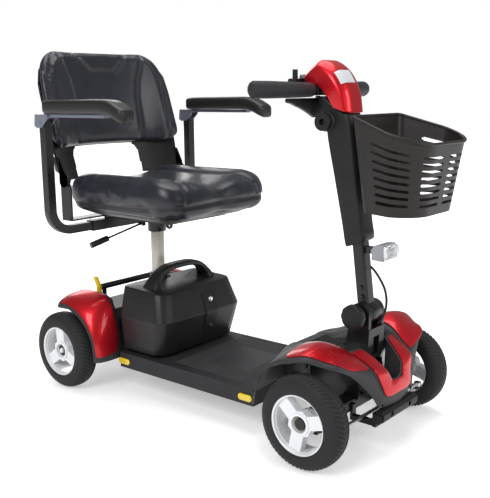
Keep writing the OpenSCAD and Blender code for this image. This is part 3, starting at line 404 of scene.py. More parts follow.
# %% Clear and prismatic plastics
def clear_plastic(name, colour, roughness):
    """Clear plastic, with faint moulding lines as bump."""
    material = bpy.data.materials.new(name)
    material.use_nodes = True
    tree = material.node_tree
    principled = tree.nodes["Principled BSDF"]
    coords = node(tree, "TexCoord")
    ripples = node(tree, "TexWave", {"Vector": coords.outputs["Object"]}, Scale=90.0, bands_direction="Y")
    relief = node(tree, "Bump", {"Height": ripples.outputs["Fac"]}, Strength=0.3, Distance=0.0006)
    tint = node(tree, "Mix", {"Factor": ripples.outputs["Fac"]}, data_type="RGBA")
    tint.inputs["A"].default_value = colour
    tint.inputs["B"].default_value = tuple(min(1.0, c * 1.05) for c in colour[:3]) + (1.0,)
    tree.links.new(tint.outputs["Result"], principled.inputs["Base Color"])
    tree.links.new(relief.outputs["Normal"], principled.inputs["Normal"])
    principled.inputs["Roughness"].default_value = roughness
    principled.inputs["Transmission Weight"].default_value = 0.9
    principled.inputs["IOR"].default_value = 1.49
    return material

clear_lens = clear_plastic("clear_lens", tone(0.93, 0.95, 0.97), 0.05)

def prism_plastic(name, colour, prism_edge_shade):
    """Reflector plastic: a small square grid of prisms, with painted light: each prism's colour is full
    yellow at its middle and shades to a darker yellow at its edges.
    """
    material = bpy.data.materials.new(name)
    material.use_nodes = True
    tree = material.node_tree
    principled = tree.nodes["Principled BSDF"]
    coords = node(tree, "TexCoord")
    turned = node(tree, "Mapping", {"Vector": coords.outputs["Object"]})
    turned.inputs["Rotation"].default_value = (0.0, 0.785, 0.0)
    checks = node(tree, "TexVoronoi", {"Vector": turned.outputs["Vector"]}, Scale=380.0, Randomness=0.0,
        distance="CHEBYCHEV")
    # Painted light: each prism face keeps the lit yellow in its middle and is painted darker towards its
    # edges.
    face = node(tree, "Mix", {"Factor": checks.outputs["Distance"]}, data_type="RGBA")
    face.inputs["A"].default_value = colour
    face.inputs["B"].default_value = prism_edge_shade
    relief = node(tree, "Bump", {"Height": checks.outputs["Distance"]}, Strength=0.6, Distance=0.001)
    tree.links.new(face.outputs["Result"], principled.inputs["Base Color"])
    tree.links.new(relief.outputs["Normal"], principled.inputs["Normal"])
    principled.inputs["Roughness"].default_value = 0.12
    principled.inputs["Coat Weight"].default_value = 1.0
    return material

yellow_prism = prism_plastic("yellow_prism", tone(1.0, 0.74, 0.0), tone(0.75, 0.45, 0.0))
print("all finishes", len(bpy.data.materials))

# %% [markdown]
# # Shapes
# Almost every new piece is a grid of points worked out with numpy, two directions at a time:
# along the piece and round or across it. We first make the few tools that all of them use.

# %% Grids and meshes
MM = 0.001
SIDES = ((-1, "r"), (1, "l"))

def through(knots, at):
    """A smooth curve through the knots (first axis), read at knot counts such as 2.5.

    Each stretch is the cubic whose slope at a knot is half the step between its neighbours."""
    knots = np.asarray(knots, float)
    at = np.asarray(at, float)
    ends = np.concatenate([2 * knots[:1] - knots[1:2], knots, 2 * knots[-1:] - knots[-2:-1]])
    k = np.clip(np.floor(at).astype(int), 0, len(knots) - 2)
    f = (at - k).reshape((-1,) + (1,) * (knots.ndim - 1))
    a, b, c, d = ends[k], ends[k + 1], ends[k + 2], ends[k + 3]
    return b + 0.5 * f * (c - a + f * (2 * a - 5 * b + 4 * c - d + f * (3 * (b - c) + d - a)))

def dense(knots, count):
    """The same curve at evenly spaced knot counts."""
    return through(knots, np.linspace(0, len(knots) - 1, count))

def evenly(line, count):
    """Points at even spacing round a closed flat line, and the length once round."""
    line = np.concatenate([line, line[:1]])
    run = np.concatenate([[0], np.cumsum(np.linalg.norm(np.diff(line, axis=0), axis=1))])
    even = np.linspace(0, run[-1], count, endpoint=False)
    return np.stack([np.interp(even, run, line[:, 0]), np.interp(even, run, line[:, 1])], 1), run[-1]

def grid_faces(rows, cols, wrap_rows=False, wrap_cols=False):
    """Four-sided faces between neighbouring grid points; a wrapped side joins its last to its first."""
    r, c = np.meshgrid(np.arange(rows if wrap_rows else rows - 1),
        np.arange(cols if wrap_cols else cols - 1), indexing="ij")
    r2, c2 = (r + 1) % rows, (c + 1) % cols
    return np.stack([r * cols + c, r2 * cols + c, r2 * cols + c2, r * cols + c2], -1).reshape(-1, 4)

def grid_normals(points):
    """Unit normals of a grid: the cross product of its steps along columns and along rows."""
    n = np.cross(np.gradient(points, axis=0), np.gradient(points, axis=1))
    return n / np.maximum(np.linalg.norm(n, axis=-1, keepdims=True), 1e-12)

def new_piece(name, points, faces, material, body, smooth=True):
    """A mesh object at the origin, riding on its body, with one material."""
    mesh = bpy.data.meshes.new(name)
    mesh.from_pydata(np.asarray(points, float).reshape(-1, 3).tolist(), [],
        [list(map(int, face)) for face in faces])
    mesh.validate()
    mesh.polygons.foreach_set("use_smooth", np.full(len(mesh.polygons), smooth))
    mesh.materials.append(material)
    piece = bpy.data.objects.new(name, mesh)
    scene.collection.objects.link(piece)
    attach(piece, body)
    return piece

def outward(piece):
    """Turns a closed piece's faces outwards, once doubled points are merged."""
    shape = bmesh.new()
    shape.from_mesh(piece.data)
    bmesh.ops.remove_doubles(shape, verts=shape.verts, dist=1e-6)
    bmesh.ops.recalc_face_normals(shape, faces=shape.faces)
    shape.to_mesh(piece.data)
    shape.free()
    return piece

def faced(piece, toward):
    """Turns an open sheet so that its faces look along a direction."""
    normals = np.empty(len(piece.data.polygons) * 3)
    piece.data.polygons.foreach_get("normal", normals)
    if normals.reshape(-1, 3).mean(0) @ np.array(toward, float) < 0:
        piece.data.flip_normals()
    return piece

def thickened(piece, thickness, edge=0.0, outwards=False, segments=2):
    """A wall for an open sheet, and a small round on its sharp edges."""
    wall = piece.modifiers.new("wall", "SOLIDIFY")
    wall.thickness = thickness
    wall.offset = 1 if outwards else -1
    wall.use_even_offset = True
    if edge:
        rounded(piece, edge, segments)
    return piece

def rounded(piece, width, segments=2, angle=40):
    """Sharp edges get a round of this width."""
    bevel = piece.modifiers.new("edge", "BEVEL")
    bevel.width = width
    bevel.segments = segments
    bevel.limit_method = "ANGLE"
    bevel.angle_limit = np.radians(angle)
    return bevel

def worked_in(piece):
    """The piece with its modifiers turned into plain mesh."""
    mesh = bpy.data.meshes.new_from_object(piece.evaluated_get(bpy.context.evaluated_depsgraph_get()))
    piece.modifiers.clear()
    piece.data = mesh
    return piece

def crisp(piece, angle=40):
    """Plain mesh, smooth shaded but with edges steeper than the angle kept sharp."""
    worked_in(piece)
    piece.data.set_sharp_from_angle(angle=float(np.radians(angle)))
    return piece

def closed_rings(rings):
    """Rings (n, m, 3) with a pole at the middle of the first and last, so the skin is closed."""
    first = np.repeat(rings[:1].mean(1, keepdims=True), rings.shape[1], 1)
    last = np.repeat(rings[-1:].mean(1, keepdims=True), rings.shape[1], 1)
    return np.concatenate([first, rings, last])

def lofted(name, rings, material, body):
    """A closed skin through rings, with its poles merged and its faces outwards."""
    points = closed_rings(np.asarray(rings, float))
    faces = grid_faces(points.shape[0], points.shape[1], wrap_cols=True)
    return outward(new_piece(name, points, faces, material, body))

def tube(name, path, radius, material, body, side=(0, 1, 0), sides=24):
    """A round tube along a flat path; side is square to the plane that the path lies in.

    Ring = path + radius * (cos * side + sin * (tangent x side))."""
    path = np.asarray(path, float)
    radius = np.broadcast_to(np.asarray(radius, float), len(path))[:, None, None]
    tangent = np.gradient(path, axis=0)
    tangent /= np.linalg.norm(tangent, axis=1, keepdims=True)
    side = np.array(side, float)
    other = np.cross(tangent, side)
    turn = np.linspace(0, 2 * np.pi, sides, endpoint=False)[None, :, None]
    rings = path[:, None] + radius * (np.cos(turn) * side + np.sin(turn) * other[:, None])
    return lofted(name, rings, material, body)

def pick(grid, rows, cols):
    """Points of a grid at fractional row and column numbers, evenly mixed from the four around."""
    i = np.clip(np.floor(rows).astype(int), 0, grid.shape[0] - 2)
    j = np.clip(np.floor(cols).astype(int), 0, grid.shape[1] - 2)
    a, b = (rows - i)[..., None], (cols - j)[..., None]
    return ((grid[i, j] * (1 - b) + grid[i, j + 1] * b) * (1 - a)
        + (grid[i + 1, j] * (1 - b) + grid[i + 1, j + 1] * b) * a)

def mirrored(points):
    """The same points on the other side of the middle plane."""
    return np.asarray(points) * np.array([1.0, -1.0, 1.0])

# %% [markdown]
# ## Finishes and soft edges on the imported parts
# Turned and plated parts are already right in CAD. Each gets its finish, its loose triangles are
# merged by a Weld, and a tiny round on its edges catches the light as real edges do.

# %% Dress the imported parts
def dressed(name, material, edge=0.0008, angle=35, segments=2):
    """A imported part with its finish, merged points, rounded edges and hardened normals."""
    part = nodes[name]
    for place in part.material_slots:
        place.material = material
    weld = part.modifiers.new("weld", "WELD")
    weld.merge_threshold = 0.00002
    if edge:
        bevel = rounded(part, edge, segments, angle)
        bevel.harden_normals = True
        bevel.use_clamp_overlap = True
    return part

finishes = [
    (frame_black, 0.0012, "main_frame"), (deck_grey, 0.0015, "floor_pan"),
    (frame_black, 0.001, "drive_motor knuckle_r knuckle_l steering_base tiller_tube seat_frame"),
    (frame_black, 0.0025, "arm_tube_r arm_tube_l"), (frame_black, 0.0008, "swivel_lever"),
    (frame_black, 0.0, "handlebar"), (dark_moulding, 0.003, "console"),
    (dark_moulding, 0.0008, "front_grille charger_socket ignition_key"),
    (dark_moulding, 0.001, "arm_knob_r arm_knob_l"), (black_rubber, 0.002, "bumper_pad"),
    (black_rubber, 0.001, "anti_tip_wheels"), (cast_alloy, 0.001, "transaxle controller"),
    (wheel_lacquer, 0.0012, "rear_rim_r rear_rim_l front_rim_r front_rim_l"),
    (plain_steel, 0.0005, "tie_rod"), (post_steel, 0.0005, "seat_post"), (lamp_grey, 0.0008, "speed_dial"),
    (lamp_grey, 0.002, "lamp_housing"), (clear_lens, 0.002, "lamp_lens"), (cell_grey, 0.002, "battery_cells"),
    (yellow_plastic, 0.0008, "horn_button"), (yellow_plastic, 0.0012, "freewheel_lever"),
    (arm_lacquer, 0.001, "armrest_r armrest_l"),
]
for material, edge, names in finishes:
    for name in names.split():
        dressed(name, material, edge)
print("dressed", sum(len(names.split()) for _, _, names in finishes), "packed parts")

# %% [markdown]
# ## Front shroud
# The shroud is two fenders joined by a nose. Each fender is an arched sheet with turned-down
# lips: we give it ribs, run a smooth curve along them, and across each one a straight lip, an arch
# through three points and a second lip. Averaging neighbours across rounds the two corners.

# %% Fender surface
front_ribs = np.array([
    [[211, 44, 108], [211, 44, 126], [215, 130, 126], [213, 186, 120], [213, 186, 112]],
    [[238, 44, 150], [232, 48, 214], [246, 130, 206], [262, 243, 152], [260, 245, 120]],
    [[290, 46, 214], [278, 55, 230], [290, 130, 236], [289, 245, 214], [287, 246, 204]],
    [[336, 70, 228], [330, 75, 243], [330, 150, 258], [330, 245, 243], [330, 247, 233]],
    [[380, 88, 236], [372, 104, 252], [385, 165, 277], [373, 245, 257], [373, 247, 247]],
    [[412, 90, 236], [410, 104, 254], [412, 165, 278], [411, 239, 265], [411, 241, 255]],
    [[434, 90, 234], [437, 101, 249], [448, 150, 264], [451, 216, 253], [450, 218, 243]],
    [[464, 84, 218], [472, 97, 231], [480, 130, 240], [482, 200, 246], [480, 202, 236]],
    [[494, 80, 196], [505, 91, 209], [500, 118, 216], [494, 159, 223], [490, 162, 214]],
    [[504, 66, 160], [514, 75, 174], [514, 88, 176], [510, 103, 169], [505, 108, 162]],
    [[512, 52, 132], [522, 59, 140], [524, 67, 133], [521, 76, 126], [516, 80, 118]]]) * MM

def arched(ribs, rows, lip=5, top=40, passes=4):
    """Across a rib: lip, the parabola through edge, crown and edge, lip; then corners averaged."""
    ribs = dense(ribs, rows)
    a, b, c, d, e = (ribs[:, k:k + 1] for k in range(5))
    s = np.linspace(0, 1, top + 1)[None, :, None]
    arch = b * (1 - s) * (1 - 2 * s) + c * 4 * s * (1 - s) + d * s * (2 * s - 1)
    t = np.linspace(0, 1, lip + 1)[None, :-1, None]
    skin = np.concatenate([a + (b - a) * t, arch, (e + (d - e) * t)[:, ::-1]], 1)
    for _ in range(passes):
        skin[:, 1:-1] = (skin[:, :-2] + 2 * skin[:, 1:-1] + skin[:, 2:]) / 4
    return skin

def fender_column(count, lip=5, top=40):
    """The grid column for a rib count from 1 (inner edge) to 3 (outer edge)."""
    return lip + (count - 1) / 2 * top

def pad_outline(rows, cols, corner_rows, corner_cols):
    """Grid coordinates from -1 to 1 with round corners: near the ends each row is narrower.

    Its half width falls from 1 along a quarter circle over the last part of the length."""
    a = np.sin(np.linspace(-1, 1, rows) * np.pi / 2)[:, None]
    b = np.linspace(-1, 1, cols)[None, :]
    past = np.clip((np.abs(a) - (1 - corner_rows)) / corner_rows, 0, 1)
    half = 1 - corner_cols * (1 - np.sqrt(np.maximum(1 - past ** 2, 0)))
    return a + 0 * b, b * half

def raised_panel(name, skin, rows, cols, lift, thickness, material, body, outside, shape=(70, 36),
        corners=(0.12, 0.4)):
    """A panel that stands off part of a skin, with round corners and edges."""
    a, b = pad_outline(*shape, *corners)
    r = (rows[0] + rows[1]) / 2 + a * (rows[1] - rows[0]) / 2
    c = (cols[0] + cols[1]) / 2 + b * (cols[1] - cols[0]) / 2
    normal = pick(grid_normals(skin), r, c)
    if normal.reshape(-1, 3).mean(0) @ np.array(outside, float) < 0:
        normal = -normal
    points = pick(skin, r, c) + normal * lift
    piece = new_piece(name, points, grid_faces(*shape), material, body)
    faced(piece, outside)
    thickened(piece, thickness, 0.0012, outwards=True)
    return piece

WALL, LIP_ROUND = 0.003, 0.0008
PANEL_LIFT, PANEL_THICK = 0.0006, 0.0026
FENDER_ROWS = 121
fender = arched(front_ribs, FENDER_ROWS)
row_of = (FENDER_ROWS - 1) / (len(front_ribs) - 1)
for side, points in (("l", fender), ("r", mirrored(fender))):
    skin = new_piece("front_fender_" + side, points, grid_faces(*points.shape[:2]), shroud_grey, "chassis")
    faced(skin, (0, 0, 1))
    thickened(skin, WALL, LIP_ROUND)
    panel = raised_panel("front_red_panel_" + side, points, (3.4 * row_of, 7.8 * row_of),
        (fender_column(1.35), fender_column(2.92)), PANEL_LIFT, PANEL_THICK, flake_red, "chassis",
        (0.2, 0, 1))
print("fender grid", fender.shape)

# %% [markdown]
# ## Nose band and its walls
# Between the fenders a band runs down from each shoulder and meets at the nose, with the open
# well of the steering column inside it. The band carries one long red panel.

# %% Nose band, well walls, lower strip and risers
nose_ribs = np.array([[[449, 58, 251], [437, 101, 249.5]], [[482, 46, 227], [472, 97, 231.5]],
    [[508, 36, 203], [505.5, 91, 209.5]], [[514, 27, 188], [514.5, 75, 174.5]],
    [[517, 21, 177], [522.5, 59, 141]], [[519, 0, 176], [525, 0, 138]]]) * MM
well_ribs = np.array([[[450, 62, 248], [447, 62, 150]], [[483, 51, 224], [482, 52, 140]],
    [[507, 41, 200.5], [500, 45, 130]], [[513.5, 30, 184], [508, 27, 126]],
    [[516, 0, 173.5], [511, 0, 126]]]) * MM
strip_ribs = np.array([[[519, 61, 142], [516, 63, 112]], [[523, 30, 141], [521, 31, 112]],
    [[523.5, 0, 141], [523, 0, 112]]]) * MM
riser_ribs = np.array([[[211, -46, 109], [211, 46, 109]], [[232.5, -50, 212], [232.5, 50, 212]],
    [[277, -57, 228], [277, 57, 228]]]) * MM

def both_sides(ribs):
    """Ribs that end at the middle, carried on over their mirror image."""
    return np.concatenate([ribs, mirrored(ribs)[-2::-1]])

def spanned(ribs, rows, cols, bulge=0.0, outside=(1, 0, 0)):
    """A sheet between the two ends of each rib, crowned along its normals by a parabola."""
    ribs = dense(ribs, rows)
    s = np.linspace(0, 1, cols)[None, :, None]
    points = ribs[:, :1] * (1 - s) + ribs[:, 1:] * s
    normal = grid_normals(points)
    sign = np.sign(normal.reshape(-1, 3).mean(0) @ np.array(outside, float))
    return points + sign * normal * bulge * 4 * s * (1 - s)

BAND_ROWS = 141
band = spanned(both_sides(nose_ribs), BAND_ROWS, 25, 0.003, (1, 0, 0.6))
shroud_sheets = {
    "nose_band": (band, (1, 0, 0.6)),
    "nose_well_wall": (spanned(both_sides(well_ribs), 101, 13), (-1, 0, 0)),
    "nose_lower_strip": (spanned(both_sides(strip_ribs), 61, 7, 0.001), (1, 0, 0)),
    "front_riser": (spanned(riser_ribs, 41, 15), (-1, 0, 0.5)),
}
for name, (points, outside) in shroud_sheets.items():
    sheet = new_piece(name, points, grid_faces(*points.shape[:2]), shroud_grey, "chassis")
    faced(sheet, outside)
    thickened(sheet, WALL, LIP_ROUND)
per_rib = (BAND_ROWS - 1) / 10
nose_panel = raised_panel("nose_red_panel", band, (0.2 * per_rib, 9.8 * per_rib), (0.09 * 24, 0.91 * 24),
    PANEL_LIFT, PANEL_THICK, flake_red, "chassis", (1, 0, 0.6), (160, 20), (0.05, 0.6))
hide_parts("front_shroud")
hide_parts("front_red_panels")

# %% [markdown]
# Behind the nose, black side plates close the frame off on both sides of the column, so that
# one does not see through the machine under the fenders.

# %% Frame side plates
def side_plate(name, outline, y0, y1, material, body, edge):
    """A flat plate: a side outline (x, z) carried from y0 to y1, with rounded edges."""
    flat = np.asarray(outline, float)
    rings = np.stack([np.column_stack([flat[:, 0], np.full(len(flat), y), flat[:, 1]]) for y in (y0, y1)])
    count = len(flat)
    ends = [list(range(count)), list(range(count, 2 * count))]
    faces = grid_faces(2, count, wrap_cols=True).tolist() + ends
    plate = outward(new_piece(name, rings, faces, material, body))
    rounded(plate, edge, 2)
    return crisp(plate, 50)

for side, mark in SIDES:
    side_plate("frame_side_" + mark, [[0.296, 0.112], [0.296, 0.196], [0.330, 0.214], [0.398, 0.212],
        [0.446, 0.196], [0.452, 0.150], [0.440, 0.112]], side * 0.0500, side * 0.0535, frame_black,
        "chassis", 0.001)

# %% [markdown]
# ## Rear shroud
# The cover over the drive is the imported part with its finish. Its fenders get a fine skin, made
# like the front ones, that lies a little outside them and carries the red panels.

# %% Rear fenders
rear_ribs = np.array([
    [[-502, 158, 262], [-500, 166, 268], [-495, 222, 262], [-488, 250, 248], [-488, 252, 240]],
    [[-450, 158, 276], [-450, 166, 282], [-443, 222, 274], [-437, 250, 250], [-437, 252, 242]],
    [[-402, 158, 278], [-400, 166, 284], [-390, 222, 262], [-392, 250, 232], [-394, 252, 225]],
    [[-356, 158, 268], [-350, 166, 274], [-352, 222, 238], [-358, 250, 202], [-362, 252, 197]],
    [[-332, 158, 212], [-325, 166, 214], [-326, 222, 184], [-334, 250, 162], [-340, 252, 160]],
    [[-318, 158, 98], [-311, 166, 98], [-312, 222, 98], [-325, 250, 98], [-331, 252, 98]]]) * MM
REAR_ROWS = 91
rear_fender = arched(rear_ribs, REAR_ROWS, top=32)
rear_row = (REAR_ROWS - 1) / (len(rear_ribs) - 1)
SKIN_RISE = 0.0012
rise = grid_normals(rear_fender) * SKIN_RISE
rear_fender = rear_fender + rise * np.sign(rise[..., 2].mean())
for side, points in (("l", rear_fender), ("r", mirrored(rear_fender))):
    skin = new_piece("rear_fender_" + side, points, grid_faces(*points.shape[:2]), shroud_grey, "chassis")
    faced(skin, (0.3, 0, 1))
    thickened(skin, WALL, LIP_ROUND)
    raised_panel("rear_red_panel_" + side, points, (0.25 * rear_row, 4.8 * rear_row),
        (fender_column(1.1, top=32), fender_column(2.9, top=32)), PANEL_LIFT, PANEL_THICK, flake_red,
        "chassis", (0.5, 0, 1))
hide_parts("rear_red_panels")
dressed("rear_shroud", shroud_grey, 0.002)
print("rear fender grid", rear_fender.shape)

# %% [markdown]
# ## Tyres
# A small pneumatic tyre with a block tread: slanted bars that meet at a rib in the middle, and a
# groove at each shoulder. The section is a superellipse; the tread is cut by lowering the radius
# where the pattern says so, which gives real grooves at the edge of the tyre.

# %% Revolve the tyres
def tyre(name, cad, body, flip):
    """Section: (sin, cos) raised to a power, from rim to rim; radius lowered in the grooves."""
    low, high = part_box(cad)
    middle = np.array((low + high) / 2)
    radius, half = (high.x - low.x) / 2, (high.y - low.y) / 2
    rim = 0.0735
    around, across = 540, 56
    turn = np.linspace(0, 2 * np.pi, around, endpoint=False)[:, None]
    s = np.linspace(-1, 1, across)[None, :]
    angle = s * np.pi * 0.5
    width = np.sign(s) * np.abs(np.sin(angle)) ** 0.72 * half
    height = np.abs(np.cos(angle)) ** 0.62 * (radius - rim)
    crown = np.clip(1 - (np.abs(width) / (half * 0.86)) ** 8, 0, 1)
    bars = (turn / (2 * np.pi) * 60 + flip * np.abs(width) / half * 1.5) % 1.0
    groove = 1 / (1 + np.exp(-(np.abs(bars - 0.5) - 0.34) * 60))
    rib = 1 / (1 + np.exp(-(np.abs(width) / half - 0.14) * 60))
    shoulder = np.exp(-((np.abs(width) / half - 0.90) / 0.035) ** 2)
    cut = 0.0030 * groove * rib * crown + 0.0012 * shoulder
    bead = 0.0010 * np.exp(-((np.abs(s) - 0.93) / 0.02) ** 2)
    r = rim + np.maximum(height - cut, 0) + bead
    y = width + 0 * turn
    points = np.stack([middle[0] + r * np.sin(turn), middle[1] + y, middle[2] + r * np.cos(turn)], -1)
    inner = points[:, ::-1][:, 4:-4:6].copy()
    inner[..., 1] = middle[1] + (inner[..., 1] - middle[1]) * 0.8
    inner[..., 0] = middle[0] + 0.0705 * np.sin(turn)
    inner[..., 2] = middle[2] + 0.0705 * np.cos(turn)
    points = np.concatenate([points, inner], 1)
    piece = new_piece(name, points, grid_faces(points.shape[0], points.shape[1], True, True), tyre_rubber,
        body)
    outward(piece)
    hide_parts(cad)
    return piece

for name, body in (("front_tyre_r", "front_wheel_r"), ("front_tyre_l", "front_wheel_l"),
        ("rear_tyre_r", "rear_wheel_r"), ("rear_tyre_l", "rear_wheel_l")):
    tyre("tread_" + name, name, body, 1)
print("tyres", 4)

# %% [markdown]
# Each front hub shows the beige seal of its bearing round the axle; each rear hub has a black ring
# round its bolt. Both are rings with a small rectangular section, carried round the axle.

# %% Bearing seals and cap rings
HUB_Y = 0.247

def axle_ring(name, cad, offset, depth, inner, outer, material, body):
    """A ring about the wheel's axis: a closed section (radius, y) turned through a full circle."""
    low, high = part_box(cad)
    middle = np.array((low + high) / 2)
    side = np.sign(middle[1])
    hub = side * HUB_Y
    section = np.array([[inner, 0], [inner, depth], [inner + 0.0006, depth + 0.0004], [outer - 0.0006,
        depth + 0.0004], [outer, depth], [outer, 0]])
    turn = np.linspace(0, 2 * np.pi, 72, endpoint=False)[:, None]
    out = hub + side * (offset + section[:, 1]) + 0 * turn
    points = np.stack([middle[0] + section[:, 0] * np.sin(turn), out,
        middle[2] + section[:, 0] * np.cos(turn)], -1)
    return outward(new_piece(name, points, grid_faces(72, len(section), True, True), material, body))

for side in ("r", "l"):
    axle_ring("bearing_seal_" + side, "front_tyre_" + side, 0.0098, 0.0052, 0.0146, 0.0203, bearing_beige,
        "front_wheel_" + side)
    axle_ring("cap_ring_" + side, "rear_tyre_" + side, 0.0170, 0.0014, 0.0088, 0.0165, black_rubber,
        "rear_wheel_" + side)
print("hub rings", 4)

# %% [markdown]
# # Upholstery
# The seat and the back are foam under stretched vinyl. A foam cushion is fullest in the middle and
# pulls in at its seams. So each is a closed skin that starts a little small, and a short cloth
# simulation with air pressure inside blows it up; the movement is capped so that it stays in
# place. The sewn seams come afterwards: the skin sinks towards each seam line.

# %% Cloth helpers
def vectors(collection, key):
    """One vector from each item of a mesh's collection, as rows of an array."""
    flat = np.empty(len(collection) * 3)
    collection.foreach_get(key, flat)
    return flat.reshape(-1, 3)

def positions(piece):
    """All vertex places of a piece as one array."""
    return vectors(piece.data.vertices, "co")

def move_to(piece, points):
    """Puts all vertices at new places."""
    piece.data.vertices.foreach_set("co", np.ascontiguousarray(points, dtype=float).ravel())
    piece.data.update()

def blown_up(piece, voxel=0.005, pressure=4.0, cap=0.010, frames=20):
    """Even remeshing, then cloth under pressure without gravity, moved by no more than the cap."""
    even = piece.modifiers.new("even", "REMESH")
    even.mode = "VOXEL"
    even.voxel_size = voxel
    worked_in(piece)
    start = positions(piece)
    cloth = piece.modifiers.new("cloth", "CLOTH")
    cloth.settings.use_pressure = True
    cloth.settings.uniform_pressure_force = pressure
    cloth.settings.effector_weights.gravity = 0
    for frame_number in range(1, frames + 1):
        scene.frame_set(frame_number)
    worked_in(piece)
    moved = positions(piece) - start
    length = np.linalg.norm(moved, axis=1, keepdims=True)
    move_to(piece, start + moved * np.minimum(1, cap / np.maximum(length, 1e-9)))
    scene.frame_set(1)
    print(piece.name, "moved by up to", round(float(length.max()), 4))
    calm = piece.modifiers.new("calm", "SMOOTH")
    calm.factor = 0.5
    calm.iterations = 6
    fine = piece.modifiers.new("fine", "SUBSURF")
    fine.levels = fine.render_levels = 1
    worked_in(piece)
    piece.data.polygons.foreach_set("use_smooth", np.ones(len(piece.data.polygons), bool))
    return piece

def vertex_normals(piece):
    """Outward normals at the vertices."""
    return vectors(piece.data.vertex_normals, "vector")

def to_line(points, line):
    """Distance from flat points (n, 2) to a broken line: the nearest of its stretches."""
    line = np.asarray(line, float)
    best = np.full(len(points), 1e9)
    for a, b in zip(line[:-1], line[1:]):
        t = np.clip(((points - a) @ (b - a)) / max((b - a) @ (b - a), 1e-12), 0, 1)
        best = np.minimum(best, np.linalg.norm(points - a - t[:, None] * (b - a), axis=1))
    return best

def sewn(piece, distance, depth=0.005, width=0.011, piping=0.0):
    """The skin sinks by depth * exp(-(distance / width)^2) and keeps the distance as "seam"."""
    points = positions(piece)
    sink = depth * np.exp(-(distance / width) ** 2) - piping * np.exp(-(distance / 0.0028) ** 2)
    move_to(piece, points - vertex_normals(piece) * sink[:, None])
    attribute = piece.data.attributes.new("seam", "FLOAT", "POINT")
    attribute.data.foreach_set("value", distance.astype(np.float32))

def cushion(name, outline, middle, place, material, body, profile, count=220):
    """A closed pad. Rings are the outline scaled towards its middle by the first number of each
    step of the profile; place(flat points, level) sets them in space at the second number."""
    outline, middle = np.asarray(outline, float), np.asarray(middle, float)
    steps = dense(profile, count // 4)
    flat = middle + (outline - middle)[None] * np.clip(steps[:, 0], 0.01, 1.0)[:, None, None]
    level = np.repeat(steps[:, 1][:, None], outline.shape[0], 1)
    rings = place(flat, level)
    return lofted(name, rings, material, body)

# %% [markdown]
# ## Seat cushion
# Seen from above it is a rounded rectangle whose front swells into two thigh lobes with a dip
# between them. The top is dished where one sits, and the front rolls down like a waterfall. Two
# curved seams separate the side bolsters from the middle panel.

# %% Seat cushion
def rounded_outline(corners, radii, count):
    """A closed outline: a quarter circle at each corner, then points at even spacing along it."""
    arcs = []
    for (cx, cy), r, start in zip(corners, radii, (-90, 0, 90, 180)):
        t = np.radians(start + np.linspace(0, 90, 13))
        arcs.append(np.stack([cx + r * np.cos(t), cy + r * np.sin(t)], 1))
    return evenly(np.concatenate(arcs), count)[0]

seat_outline = rounded_outline([(-0.095, -0.150), (-0.095, 0.150), (-0.430, 0.148), (-0.430, -0.148)],
    [0.064, 0.064, 0.062, 0.062], 240)
front_dip = np.exp(-(seat_outline[:, 1] / 0.05) ** 2) * (seat_outline[:, 0] > -0.1)
seat_outline[:, 0] -= 0.010 * front_dip

def seat_place(flat, level):
    """Height = bottom + level * (top - bottom). Top = edge height, less a dish between the bolsters,
    less a front roll, less a valley between the two lobes. The rim hangs a little below the middle."""
    x, y = flat[..., 0], flat[..., 1]
    dish = (0.024 * np.clip(1 - (np.abs(y) / 0.15) ** 2.4, 0, 1)
        * np.clip(1 - ((x + 0.30) / 0.27) ** 4, 0, 1))
    roll = 0.026 * np.clip((x + 0.12) / 0.09, 0, 1) ** 2
    valley = 0.014 * np.exp(-(y / 0.045) ** 2) * np.clip((x + 0.22) / 0.14, 0, 1)
    rear = 0.010 * np.clip((-0.40 - x) / 0.08, 0, 1) ** 2
    top = 0.633 - dish - roll - valley - rear
    out = np.maximum(np.abs(y) / 0.212, np.abs(x + 0.2625) / 0.2295)
    bottom = 0.5415 - 0.010 * np.clip((out - 0.86) / 0.12, 0, 1)
    return np.stack([x, y, bottom + level * (top - bottom)], -1)

seat_profile = [[0.0, 0.0], [0.5, 0.0], [0.90, 0.0], [0.97, 0.07], [1.0, 0.30], [1.0, 0.60], [0.975, 0.85],
    [0.90, 1.0], [0.5, 1.0], [0.0, 1.0]]
seat_pad = cushion("seat_pad", seat_outline, (-0.27, 0.0), seat_place, vinyl, "seat",
    seat_profile)
blown_up(seat_pad, cap=0.007)
spots = positions(seat_pad)
x, y, z = spots.T
bolster = np.abs(np.abs(y) - (0.118 + 0.028 * np.clip((x + 0.20) / 0.16, 0, 1) ** 2))
on_top = z > 0.575
seams = np.where(on_top & (x > -0.455), bolster, 1.0)
edge_seam = np.abs(z - 0.556 - 0.012 * np.clip((x + 0.20) / 0.16, 0, 1))
seams = np.minimum(seams, np.where(on_top, 1.0, edge_seam))
sewn(seat_pad, seams, 0.0042, 0.010)

# %% Creases of a seat that is sat in
def creased(piece, height):
    """Moves the skin along its normals by a height given for each vertex."""
    move_to(piece, positions(piece) + vertex_normals(piece) * height[:, None])

spots = positions(seat_pad)
x, y, z = spots.T
near_front = np.clip((x + 0.17) / 0.05, 0, 1) * np.clip((-0.040 - x) / 0.03, 0, 1) * (z > 0.57)
on_lobes = np.exp(-((np.abs(y) - 0.10) / 0.07) ** 2)
ripples = np.sin(1150 * (x + 0.06 * np.cos(9 * y)) + 1.6 * np.sin(31 * y)) * on_lobes
in_dip = np.exp(-(np.abs(y) / 0.05) ** 2)
pull = np.sin(620 * (y + 0.25 * (x + 0.1))) * in_dip * np.clip((x + 0.12) / 0.05, 0, 1)
creased(seat_pad, 0.0006 * near_front * ripples + 0.0007 * near_front * pull)
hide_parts("seat_cushion")
print("seat pad", len(seat_pad.data.polygons), "faces")

